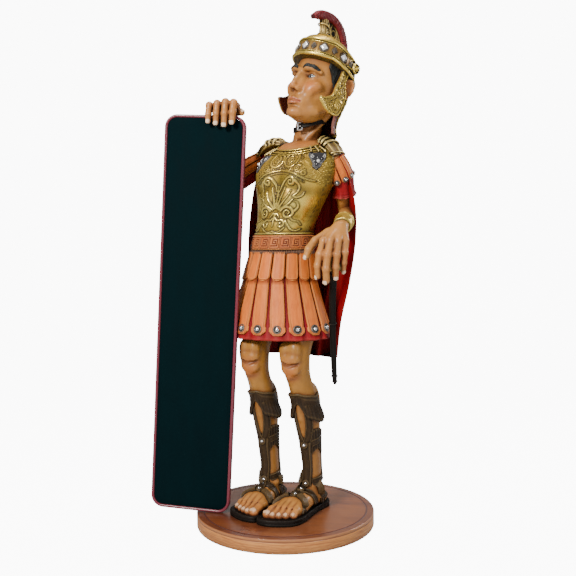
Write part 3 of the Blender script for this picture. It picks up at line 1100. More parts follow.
def makeFoot(side):
    foot = feet[side]
    (hx, hy), (bx, by), turn = foot["heel"], foot["ball"], foot["turn"]

    def between(t):
        return hx + (bx - hx) * t, hy + (by - hy) * t

    clay = Clay((min(hx, bx) - 85, by - 100, 6), (max(hx, bx) + 85, hy + 45, 128), 3.1)
    stations = [(0.0, 38, 30, 28), (0.14, 42, 39, 36), (0.36, 53, 42, 47), (0.56, 51, 46, 43),
                (0.78, 41, 54, 31),
                (1.0, 32, 60, 24), (1.10, 29, 59, 20)]
    s = spline(stations, 5)
    for (t0, z0, w0, d0), (t1, z1, w1, d1) in zip(s, s[1:]):
        for k in (-0.55, 0, 0.55):
            (ax, ay), (cx, cy) = between(t0), between(t1)
            tall0, tall1 = d0 * (1 - 0.12 * abs(k)), d1 * (1 - 0.12 * abs(k))
            r0, r1 = min(w0 * 0.5, tall0), min(w1 * 0.5, tall1)
            clay.stick((ax + k * (w0 - r0 * 0.5), ay, z0 - d0 + r0 + (tall0 - r0) * 0.9),
                       (cx + k * (w1 - r1 * 0.5), cy, z1 - d1 + r1 + (tall1 - r1) * 0.9), r0, r1, 9)
    lx, ly, lw, ld = ovals(legs[side], 90)
    clay.ball((lx, ly, 100), (lw, ld, 60), 14)
    clay.ball((lx - 26 * turn, ly - 4, 92), (13, 16, 15), 9).ball((lx + 27 * turn, ly + 6, 84), (13, 15, 15),
                                                                  9)
    nails = Shape()
    for n, (place, reach, half) in enumerate(toes):
        x = bx - turn * place * 58
        tip = by + reach
        clay.stick((x, by + 22, 36), (x, by + reach * 0.42, 35), half * 0.94, half * 0.88, 5)
        clay.stick((x, by + reach * 0.42, 35), (x, tip + half * 0.9, 27), half * 0.88, half * 0.98, 4)
        clay.ball((x, tip + half * 0.75, 27), (half * 1.04, half * 0.95, half * 0.92), 3)
        clay.ball((x, by + reach * 0.36, 42), (half * 0.7, half * 0.75, 7), 5)  # joint
        if n:  # the gap between two toes
            before = bx - turn * toes[n - 1][0] * 58
            clay.stick(((x + before) / 2, by + reach * 0.1, 47), ((x + before) / 2, tip - 10, 44), 2.2, 3.0,
                       5, take=True)
        clay.stick((x - 6, by + reach * 0.62, 50), (x + 6, by + reach * 0.62, 50), 1.3, blend=3, take=True)
        big = 1.25 if n == 0 else 1.0
        t, a = np.meshgrid(np.linspace(0, 1, 9), np.linspace(-1, 1, 13), indexing="ij")
        w = half * 0.62 * big * np.sqrt(np.maximum(1 - np.abs(2 * t - 1) ** 3.2, 0.04))
        high = 27 + half * 0.9 + 1.3 + 2.2 * t - 2.6 * (1 - t) ** 2 - 3.4 * a * a
        top = np.stack([x + a * w, tip + half * 0.62 - 11 + 11 * t * big, high], -1)
        nails.sheet(top, top - [0, 0, 3.5], nail=0.55, blush=0.5)
    for k in range(4):  # tendons
        x0, x1 = between(0.62)[0] + (k - 1.5) * 13, bx - turn * (0.36 - 0.36 * k) * 58
        clay.stick((x0, between(0.62)[1], 84 - 5 * abs(k - 1.5)), (x1, by + 16, 51), 3.0, 3.6, 8)
    points, faces = clay.surface(3)
    px, py, pz = points.T
    toeZone = smoothStep(-py, -(by - 6), -(by - 40))
    blush = 0.30 * toeZone + 0.5 * toeZone * smoothStep(pz, 40, 22)
    shade = 0.8 * smoothStep(pz, 29, 20) + 0.35 * smoothStep(pz, 80, 112)
    for n in range(1, 5):
        gap = (bx - turn * toes[n - 1][0] * 58 + bx - turn * toes[n][0] * 58) / 2
        shade = shade + bump(px, gap, 3.6) * smoothStep(-py, -(by + 26), -(by - 4)) * (pz > 24)
    skinned = Shape().add(points, faces, blush=np.clip(blush, 0, 1), shade=np.clip(shade, 0, 1))
    skinned.piece(f"{side}_foot", skin, sharp=180)
    nails.piece(f"{side}_toenails", skin, sharp=80)
    makeSole(side, between, turn)
    return BVHTree.FromPolygons(points.tolist(), faces.tolist())


def makeSole(side, between, turn):
    half = spline([(-0.165, 0.0), (-0.13, 24), (0.03, 42), (0.35, 45), (0.7, 57), (1.0, 71), (1.25, 72),
                   (1.42, 58),
                   (1.5, 22), (1.515, 0)], 6)
    base = []
    for t, w in np.vstack([half, half[::-1][1:-1] * [1, -1]]):
        x, y = between(t)
        base.append((x + w, y + 22 * turn * (w / 72) * max(0, t - 0.9) / 0.6))
    base = np.array(base)
    away = unit(base - base.mean(0))
    rings = [np.column_stack([base - away * inset, np.full(len(base), z)])
             for z, inset in ((0.3, 3.0), (0.3, 1.4), (1.5, 0.2), (8, 0), (9.2, 1.4), (10.4, 1.4), (11.4, 0),
                              (18, 0),
                              (20.5, 0.8), (21.4, 2.4), (21.4, 8), (19.8, 14), (19.6, 24))]
    Shape().loft(rings).piece(f"{side}_sole", blackSole, sharp=50)


# a strap's cross-section: across in half widths, out in thicknesses
strapSection = [(-1, -2.5), (-1, 0.55), (-0.93, 0.95), (-0.80, 1.15), (-0.70, 0.85), (-0.55, 0.95), (0, 1.15),
                (0.55, 0.95), (0.70, 0.85), (0.80, 1.15), (0.93, 0.95), (1, 0.55), (1, -2.5)]


def layStrap(shape, tree, path, wide, thick):
    # a strap laid on a skin: every point of the path is dropped onto it
    on, normals = [], []
    for p in spline(path, 4):
        hit, normal = surfacePoint(tree, p)
        on.append(hit)
        normals.append(-normal if np.dot(normal, p - (hit - normal)) < 0 else normal)
    on, normals = np.array(on), np.array(normals)
    for _ in range(3):
        for line in (on, normals):
            line[1:-1] = (line[:-2] + 2 * line[1:-1] + line[2:]) / 4
    normals = unit(normals)
    side = unit(np.cross(unit(np.gradient(on, axis=0)), normals))
    w = np.interp(np.linspace(0, 1, len(on)), np.linspace(0, 1, len(wide)), wide)
    across, out = np.array(strapSection, float).T
    rings = (on[:, None] + side[:, None] * (w[:, None] * across)[..., None]
             + normals[:, None] * (out * thick)[:, None])
    for ring, normal in zip(rings, normals):
        for j, (a, b) in enumerate(strapSection):
            if b > 0:  # keeps the edges on the skin where it curves away
                lift = np.dot(ring[j] - surfacePoint(tree, ring[j])[0], normal)
                ring[j] += normal * (b * thick - lift) * (1 if abs(a) > 0.6 else 0.6)
    edge = np.where(np.abs(np.abs(across) - 0.8) < 0.02, 0.75, 0)
    shape.loft(rings, edge=np.broadcast_to(edge, rings.shape[:2]))


def surfacePoint(tree, p, lift=0.0):
    hit, normal, _, _ = tree.find_nearest(Vector(p))
    return np.array(hit) + np.array(normal) * lift, np.array(normal)


def makeSandal(side, footTree):
    leather, studs = Shape(), Shape()
    # cuff: flares at its foot into two points, with a tall opening in front
    angle = roundAngles(120)
    a, tt = np.meshgrid(angle, np.linspace(0, 1, 26))
    signed = np.abs((a + math.pi) % tau - math.pi)
    top = 432 + 1.5 * np.sin(a * 3 + 1) + np.sin(a * 7) + 3 * np.cos(2 * a)
    low = 352 - 17 * bump(signed, 1.45, 0.5) + 8 * bump(signed, 2.6, 0.4)
    low = low + 50 * smoothStep(0.60 - signed, 0, 0.60) ** 0.8
    z = top + (low - top) * tt
    flare = 5 + 3.0 * bump(tt, 0.0, 0.1) + 15 * smoothStep(tt, 0.35, 1.0) * bump(signed, 1.5, 1.1)
    stitch = bump(tt, 0.14, 0.02) + bump(1 - tt, 0.10, 0.022)
    outer = onLeg(side, a, z, flare + 1.1 * np.cos(a * 30) * smoothStep(tt, 0.15, 0.5) + 1.5 * stitch)
    recess = np.clip(0.4 - 0.4 * np.cos(a * 30), 0, 1) * smoothStep(tt, 0.2, 0.5) * 0.7
    leather.sheet(outer, onLeg(side, a, z, flare - 5), across=False, under=dict(recess=0.8), recess=recess,
                  edge=np.clip(stitch * 0.8, 0, 1))
    tubeAlong(leather, onLeg(side, angle, top[0] + 1, 6), 4.2, 10, closed=True, edge=0.35)
    # skin of this leg, for the straps that lie on it
    b, h = np.meshgrid(roundAngles(48), np.arange(430, 40, -6.0))
    tree = BVHTree.FromPolygons(onLeg(side, b, h, 1.0).reshape(-1, 3).tolist(),
                                gridFaces(len(b), 48, True).tolist())

    def legStrap(places, wide, thick):  # places: height and angle
        layStrap(leather, tree, [onLeg(side, b, z, 3) for z, b in places], wide, thick)

    for s in (-1, 1):  # the opening's two side straps, which meet at a stud on the shin
        legStrap(((400, 0.55 * s), (370, 0.62 * s), (330, 0.66 * s), (290, 0.52 * s), (262, 0.25 * s),
                  (246, 0.0)),
                 (11, 13, 14, 13, 11), 5)
        legStrap(((252, 0), (258, 0.8 * s), (268, 1.6 * s), (276, 2.4 * s), (280, 3.1 * s)), (12, 12, 10, 10),
                 4.6)
    legStrap(((262, 0), (235, -0.05), (200, 0), (160, 0.05), (120, 0), (100, 0)), (24, 22, 19, 18, 18), 6)
    # gaiter between the two knots: all round the leg, cut up into a window on each side
    a, tt = np.meshgrid(angle, np.linspace(0, 1, 18))
    signed = np.abs((a + math.pi) % tau - math.pi)
    high = 300 - 34 * bump(signed, 0, 0.42) + 10 * bump(signed, 1.3, 0.6)
    deep = 212 - 26 * bump(signed, 0, 0.35) + 22 * bump(signed, 1.25, 0.5) - 90 * bump(signed, math.pi, 0.5)
    z = high + (deep - high) * tt
    border = bump(tt, 0.04, 0.03) + bump(tt, 0.965, 0.03)
    lift = 5.0 + 0.9 * np.cos(a * 26) + 1.4 * border - 2.0 * (bump(tt, 0, 0.02) + bump(tt, 1, 0.02))
    leather.sheet(onLeg(side, a, z, lift), onLeg(side, a, z), across=False, under=dict(recess=0.8),
                  edge=border * 0.5, recess=np.clip(0.45 - 0.45 * np.cos(a * 26), 0, 1) * 0.7)
    for s in (-1, 1):
        legStrap(((112, 0.0), (114, 0.8 * s), (120, 1.6 * s), (124, 2.4 * s), (126, 3.1 * s)),
                 (12, 12, 11, 11), 4.8)
    legStrap(((278, 3.14), (230, 3.14), (180, 3.14), (122, 3.14)), (26, 26, 25, 25), 5)
    legStrap(((352, 3.14), (310, 3.14), (276, 3.14)), (18, 14, 13), 5)
    for z, size in ((250, 1.0), (108, 0.9)):
        centre, out = onLeg(side, 0.0, z, 7), (0.05, -1, 0.1)
        leather.turned([(13, -3), (13, 2), (11, 3.4), (8, 3.2)], centre, out, 28, edge=0.3)
        studs.turned([(6.5 * size, 1), (6.2 * size, 4), (4.6 * size, 6.4), (2.2 * size, 7.6), (0, 8)], centre,
                     out, 24)
    # foot straps, laid on the foot
    (hx, hy), (bx, by) = feet[side]["heel"], feet[side]["ball"]

    def onFoot(t, across, z):
        return hx + (bx - hx) * t + across, hy + (by - hy) * t, z

    def footStrap(places, wide, thick=5):  # places: share of the way to the toes, across, height
        layStrap(leather, footTree, [onFoot(*p) for p in places], wide, thick)

    footStrap(((0.30, 0, 128), (0.44, -1, 104), (0.60, -1, 92), (0.74, 0, 76)), (13, 14, 14, 12))
    for s in (-1, 1):
        footStrap(((0.34, 0, 116), (0.33, 18 * s, 104), (0.29, 36 * s, 78), (0.24, 44 * s, 46),
                   (0.2, 42 * s, 22)),
                  (13, 13, 12, 13))
        footStrap(((0.60, 0, 92), (0.56, 20 * s, 86), (0.52, 38 * s, 68), (0.46, 50 * s, 40),
                   (0.42, 50 * s, 20)),
                  (12, 12, 12, 13))
        footStrap(((0.76, 0, 74), (0.78, 20 * s, 68), (0.84, 42 * s, 52), (0.9, 58 * s, 34),
                   (0.92, 62 * s, 20)),
                  (11, 11, 11, 12))
        footStrap(((0.22, 42 * s, 40), (0.05, 38 * s, 52), (-0.1, 20 * s, 58), (-0.15, 0, 60)), (10, 10, 10),
                  4.5)
    for t, z in ((0.60, 94), (0.77, 77)):
        p, normal = surfacePoint(footTree, onFoot(t, 0, z), 5)
        leather.turned([(11.5, -3), (11.5, 2), (9.5, 3.4), (7, 3.2)], p, normal, 26, edge=0.3)
        studs.turned([(5.8, 1), (5.5, 4), (4, 6.2), (2, 7.2), (0, 7.5)], p, normal, 22)
    leather.piece(f"{side}_sandal", sandalLeather, sharp=60)
    studs.piece(f"{side}_sandal_studs", steel, sharp=80)


for side in ("right", "left"):
    makeLegSkin(side)
    makeSandal(side, makeFoot(side))
print("legs and sandals made")


leftArm = [(156, 26, 1258, 39, 40), (188, 38, 1250, 38, 40), (204, 68, 1200, 36, 38),
           (200, 100, 1140, 32, 35),
           (191, 130, 1098, 30, 33), (202, 112, 1072, 30, 31), (230, 40, 1050, 29, 27),
           (252, -22, 1032, 24, 21),
           (258, -44, 1026, 24, 19)]
rightElbow, rightShoulder = np.array((-262.0, -48, 1150)), np.array((-108.0, 38, 1264))
gripWrist = (4, 84, -24)
restFingers = (
    ("index", ((228, -118, 976), (228, -148, 934), (222, -152, 896), (218, -142, 856)), 14),
    ("middle", ((250, -112, 978), (254, -142, 932), (250, -146, 886), (245, -134, 840)), 14.5),
    ("ring", ((271, -94, 976), (276, -120, 932), (272, -120, 892), (265, -106, 854)), 13.5),
    ("little", ((286, -72, 974), (292, -92, 938), (287, -90, 906), (278, -78, 874)), 12.5))
gripFingers = (
    ("index", ((46, 26, 34), (46, -12, 41), (45, -19, 8), (44, -18, -29)), 14),
    ("middle", ((17, 30, 36), (17, -12, 42), (17, -19, 4), (17, -18, -38)), 14.5),
    ("ring", ((-13, 32, 31), (-13, -12, 37), (-13, -19, 2), (-13, -18, -33)), 13.5),
    ("little", ((-40, 34, 26), (-41, -12, 31), (-41, -19, 0), (-41, -18, -27)), 12.5))


def clayFinger(clay, joints, radius):
    k, a, b, tip = [np.array(j, float) for j in joints]
    clay.stick(k, a, radius, radius * 0.92, 5)
    clay.ball(a, radius * 1.04, 3.5)
    clay.stick(a, b, radius * 0.93, radius * 0.88, 3)
    clay.ball(b, radius * 0.97, 3)
    end = tip - unit(tip - b) * radius * 0.45
    clay.stick(b, end, radius * 0.86, radius * 0.80, 3)


def fingerNail(shape, joints, radius, out, length=15.0):
    # a nail on the outer side of a finger's tip, from the quick to just past the end
    b, tip = np.array(joints[-2], float), np.array(joints[-1], float)
    along = unit(tip - b)
    out = unit(np.asarray(out, float) - np.dot(out, along) * along)
    side = np.cross(along, out)
    rows = []
    for t in np.linspace(0, 1, 12):
        width = radius * 0.60 * math.sqrt(max(1 - abs(2 * (0.08 + 0.86 * t) - 1) ** 3.5, 0.03))
        centre = tip + along * (length * (t - 0.72) + radius * 0.12)
        fall = radius * 0.86 - 0.22 * max(t - 0.7, 0) * radius * 3
        rows.append([centre + side * width * a + out * (fall - 3.2 * a * a + 0.5) for a in np.linspace(-1, 1,
                                                                                                       15)])
    top = np.array(rows)
    shape.sheet(top, top - out * 3.0, nail=1.0)


def halfway(a, b, joint):  # the place between the same joint of two fingers
    return (np.array(a[1][joint], float) + b[1][joint]) / 2


def finishHand(side, clay, nails, fingers, redness, gaps, spread, place=figurePlace):
    # redness: (joint, amount) pairs; gaps: the stretches between the fingers that are painted dark
    points, faces = clay.surface(3)
    blush, shade = np.zeros(len(points)), np.zeros(len(points))
    for _, joints, radius in fingers:
        for j, amount in redness:
            away = np.linalg.norm(points - np.array(joints[j]), axis=1)
            blush = np.maximum(blush, amount * bump(away, 0, radius * 1.5))
    for p, q in gaps:
        shade = np.maximum(shade, 0.9 * bump(fromStretch(points, p, q)[0], 0, spread))
    Shape().add(points, faces, blush=blush, shade=shade).piece(f"{side}_hand", skin, place, sharp=180)
    nails.piece(f"{side}_fingernails", skin, place, sharp=80)


bracelet = dict(path=((236, 22, 1045, 33, 32), (242, 8, 1040.5, 32.5, 31), (246, -6, 1036, 32, 30),
                      (254, -32, 1029, 29.5, 26.5)), lines=7, slant=1.5)


def makeLeftArm():
    Shape().tube(leftArm, 40, 8).piece("left_arm", skin, sharp=180)
    # bracelet: a wide gold cuff with a criss-cross of raised lines
    path = spline(bracelet["path"], 12)
    _, side, up = frameAlong(path)
    angle, t = roundAngles(96), np.linspace(0, 1, len(path))[:, None]
    turns, slant = angle / tau * bracelet["lines"], t * bracelet["slant"]
    cross = np.maximum(bump((turns + slant) % 1 - 0.5, 0, 0.07), bump((turns - slant) % 1 - 0.5, 0, 0.07))
    rims = bump(t, 0.03, 0.04) + bump(t, 0.97, 0.04) + 0 * angle
    outer = pipeRings(path, side, up, 1.8 * cross * (t > 0.08) * (t < 0.92) + 2.6 * rims, angle)
    edge = np.clip(np.maximum(cross, rims), 0, 1) * 0.8
    cuff = Shape().sheet(outer, pipeRings(path, side, up, -6, angle), across=False, edge=edge,
                         recess=(1 - edge) * 0.35)
    cuff.piece("left_bracelet", gold, sharp=70)


def makeLeftHand():
    clay = Clay((148, -176, 812), (318, 6, 1066), 2.8)
    clay.stick((254, -20, 1032), (256, -52, 1024), 21, 22, 4)
    clay.stick((246, -56, 1020), (232, -104, 984), 17, 14, 12)
    clay.stick((254, -56, 1022), (250, -104, 988), 18, 15, 12)
    clay.stick((262, -54, 1021), (270, -90, 986), 17, 14, 12)
    clay.stick((266, -50, 1018), (284, -70, 982), 15, 13, 12)
    clay.stick((236, -52, 1014), (222, -74, 1002), 16, 17, 12)
    nails = Shape()
    for _, joints, radius in restFingers:
        clayFinger(clay, joints, radius)
        k = np.array(joints[0], float)
        clay.ball(k + (0, -3, 5), (radius * 0.95, radius * 0.8, radius * 0.8), 6)
        # tendon
        clay.stick(np.array((256, -52, 1036)) * 0.6 + k * 0.4 + (0, 0, 3), k + (0, -4, 9), 3.2, 3.0, 8)
        fingerNail(nails, joints, radius, (0.04 * (k[0] - 255), -1, 0.2))
    thumb = ((222, -74, 1004), (190, -106, 978), (176, -128, 950), (170, -134, 920))
    clay.stick(thumb[0], thumb[1], 17, 15, 8)
    clay.ball(thumb[1], 15.5, 3)
    clay.stick(thumb[1], thumb[2], 14.5, 14.5, 3)
    clay.stick(thumb[2], (171.5, -133, 928), 14, 12, 3)
    fingerNail(nails, thumb, 14, (-0.45, -0.85, 0.1), 17)
    pairs = list(zip(restFingers, restFingers[1:]))
    for a, b in pairs:  # webs between the fingers
        p = halfway(a, b, 0)
        clay.stick(p + (0, -16, -10), p + (0, -28, -44), 1.8, 2.6, 5, take=True)
    for _, joints, radius in restFingers:
        a, b = np.array(joints[1], float), np.array(joints[2], float)
        for p, reach in ((a, 1.02), (b, 1.0)):
            q = p + (0, -radius * reach, 3)
            for dz in (-2.6, 2.6):
                clay.stick(q + (-5, 0, dz), q + (5, 0, dz), 0.9, blend=2, take=True)
    gaps = [(halfway(a, b, 0) + (0, -10, -4), halfway(a, b, 2)) for a, b in pairs]
    finishHand("left", clay, nails, restFingers, ((0, 0.35), (1, 0.5), (2, 0.35), (3, 0.4)), gaps, 9.5)


def makeRightHand():
    clay = Clay((-72, -52, -68), (100, 118, 72), 2.8)
    for x0, x1 in ((-34, -14), (-10, -2), (14, 8), (38, 18)):
        clay.stick((x0, 28, 26), (x0 * 0.8, 46, 22), 14, 15, 12)
        clay.stick((x0 * 0.8, 46, 22), (x1, 74, -4), 15, 17, 12)
    clay.stick((4, 70, -4), gripWrist, 26, 24, 12)
    clay.stick(gripWrist, (4, 112, -44), 24, 24, 6)
    nails = Shape()
    for _, joints, radius in gripFingers:
        clayFinger(clay, joints, radius)
        k, a = np.array(joints[0], float), np.array(joints[1], float)
        clay.ball(k + (0, 0, 3), (radius, radius * 0.9, radius * 0.85), 6)
        fingerNail(nails, joints, radius, (0, -1, 0.05))
        for p in (a + (0, -radius * 0.62, radius * 0.72), np.array(joints[2]) + (0, -radius, 2)):
            for d in (-2.6, 2.6):
                clay.stick(p + (-5, d * 0.5, d), p + (5, d * 0.5, d), 0.9, blend=2, take=True)
    thumb = ((30, 56, 16), (50, 34, 17), (62, 20, 15), (74, 8, 10))
    clay.stick((22, 62, 8), thumb[0], 17, 17, 8)
    clay.stick(thumb[0], thumb[1], 16, 14, 5).ball(thumb[1], 14.5, 3)
    clay.stick(thumb[1], thumb[2], 13.5, 13, 3).stick(thumb[2], (71, 12, 11.5), 13, 11, 3)
    fingerNail(nails, thumb, 13, (0.2, -0.3, 1), 16)
    gaps = []
    for a, b in zip(gripFingers, gripFingers[1:]):
        p, q = halfway(a, b, 1), halfway(a, b, 3)
        clay.stick(p + (0, 14, 12), p + (0, -14, 14), 1.8, 2.4, 4, take=True)
        clay.stick(p + (0, -16, 4), q + (0, -12, 0), 2.4, 2.4, 4, take=True)
        gaps += [(halfway(a, b, 0) + (0, 0, 9), p), (p, q)]
    finishHand("right", clay, nails, gripFingers, ((1, 0.5), (2, 0.35), (3, 0.35)), gaps, 9.0, gripPlace)


def makeRightArm():
    wrist = np.array(figurePlace.inverted() @ (gripPlace @ Vector(gripWrist)))
    e, s = rightElbow, rightShoulder

    def lerp(a, b, t):
        return a + (b - a) * t

    stations = [(*lerp(s, e, -0.35), 38, 38), (*s, 40, 40), (*lerp(s, e, 0.55), 36, 37), (*e, 31, 33),
                (*lerp(e, wrist, 0.14), 33, 33), (*lerp(e, wrist, 0.35), 32, 31),
                (*lerp(e, wrist, 0.75), 25, 25),
                (*wrist, 25, 23)]
    Shape().tube(stations, 40, 8).piece("right_arm", skin, sharp=180)


sleeveStraps = dict(count=7, apart=0.62, half=0.29, spread=((-0.05, 0.2, 0.42, 1), (44, 50, 52, 51)))


def makeSleeves():
    cloth, leather, studs, washers = Shape(), Shape(), Shape(), Shape()
    e, s = rightElbow, rightShoulder
    sleeves = {"left": [(183, 37, 1262, 41, 42), (205, 62, 1214, 41, 44), (203, 84, 1166, 39, 42),
                        (201, 94, 1140, 42, 46)],
               "right": [(*(s + (e - s) * t), w, w) for t,
                         w in ((-0.1, 42), (0.3, 42), (0.6, 40), (0.76, 43))]}
    for side, stations in sleeves.items():
        path = spline(stations, 11)
        along, across, up = frameAlong(path)
        angle, t = roundAngles(100), np.linspace(0, 1, len(path))[:, None]
        low = smoothStep(t, 0.55, 1.0)
        hem = bump(t, 0.985, 0.03) + 0.8 * bump(t, 0.90, 0.018) + 0 * angle
        lift = low * (1.2 * np.sin(angle * 9 + 1) + 0.8 * np.sin(angle * 14)) - 1.0
        lift = lift + 1.8 * hem + 1.2 * low * np.sin(t * 60 + 0.8 * np.sin(angle * 5))
        hang = along[-1] * 1.2 * (bump(t, 1.0, 0.12) * np.cos(angle * 12))[..., None]
        inner = pipeRings(path[-3:], across[-3:], up[-3:], -5, angle)
        cloth.sheet(pipeRings(path, across, up, lift, angle) + hang, inner, across=False,
                    under=dict(recess=0.6),
                    edge=hem, recess=np.clip(0.25 - lift * 0.2, 0, 1) * low)
        top, end = np.array(stations[0][:3]), np.array(stations[2][:3])
        if side == "right":
            top, end = s, s + (e - s) * 0.72
        down, length = unit(end - top), np.linalg.norm(end - top)
        out = np.array((1.0 if side == "left" else -1.0, -0.25, 0.3))
        out = unit(out - out.dot(down) * down)
        other = np.cross(down, out)

        def around(angle, z, lift):
            radius = np.interp(z, *sleeveStraps["spread"]) + lift
            radial = out * np.cos(angle)[..., None] + other * np.sin(angle)[..., None]
            return top + down * (length * z)[..., None] + radial * radius[..., None]

        places = np.arange(sleeveStraps["count"]) - (sleeveStraps["count"] - 1) / 2
        for middle in places * sleeveStraps["apart"]:
            armStrap(leather, around, middle)
            radial = out * math.cos(middle) + other * math.sin(middle)
            centre = top + down * length * 0.66 + radial * 53
            washers.turned([(9.6, -2), (9.6, 1), (8.4, 2.2), (6.6, 1.6), (5.4, 0.6)], centre, radial, 22)
            studs.turned([(5.4, 0), (5.2, 2), (4.0, 4.2), (1.9, 5.4), (0, 5.6)], centre, radial, 20)
    cloth.piece("tunic_sleeves", redCloth, sharp=80)
    leather.piece("sleeve_straps", orangeLeather, sharp=50)
    washers.piece("sleeve_washers", darkIron, sharp=50)
    studs.piece("sleeve_studs", steel, sharp=80)


def armStrap(shape, around, middle):
    t, s = np.meshgrid(np.linspace(0, 1, 28), np.linspace(-1, 1, 12), indexing="ij")
    width = np.where(t > 0.93, 0.45 + 0.5 * (1 - t) / 0.07, 0.95) * sleeveStraps["half"]
    away = np.minimum((1 - np.abs(s)) * width * 48, (1 - t) * 90 + 0.4)
    line = bump(away, 1.8, 1.1)
    lift = 0.5 - 2.2 * s * s + 1.4 * line - 2 * np.clip(1 - away, 0, 1)
    angle, z = middle + s * width, -0.05 + 0.80 * t
    shape.sheet(around(angle, z, lift), around(angle, z, -7), under=dict(shade=0.9),
                edge=np.clip(line, 0, 1) * 0.8,
                recess=0.7 * bump(away, 4.0, 1.2), shade=0 * t)


makeLeftArm()
makeLeftHand()
makeRightArm()
makeRightHand()
makeSleeves()
print("arms and hands made")


headLevels = [(0, -44, -128, 18, 20), (0, -36, -120, 33, 38), (0, -24, -102, 47, 58), (0, -12, -80, 57, 74),
              (0, -4, -56, 65, 82), (0, 2, -30, 73, 87), (0, 5, -4, 75, 92), (0, 7, 16, 76, 94),
              (0, 8, 40, 76, 95),
              (0, 9, 70, 71, 90), (0, 9, 98, 55, 72), (0, 9, 116, 32, 42)]
face = dict(eyeApart=31, eyeHeight=2, eyeBack=-63, eyeRadius=15.5, lidOpen=6.4)
earPath = [(82, 16, 6), (84, 18, 20), (88, 25, 31), (93, 38, 32), (96, 47, 22), (96, 49, 6), (93, 45, -8),
           (88, 36, -20),
           (82, 26, -27)]


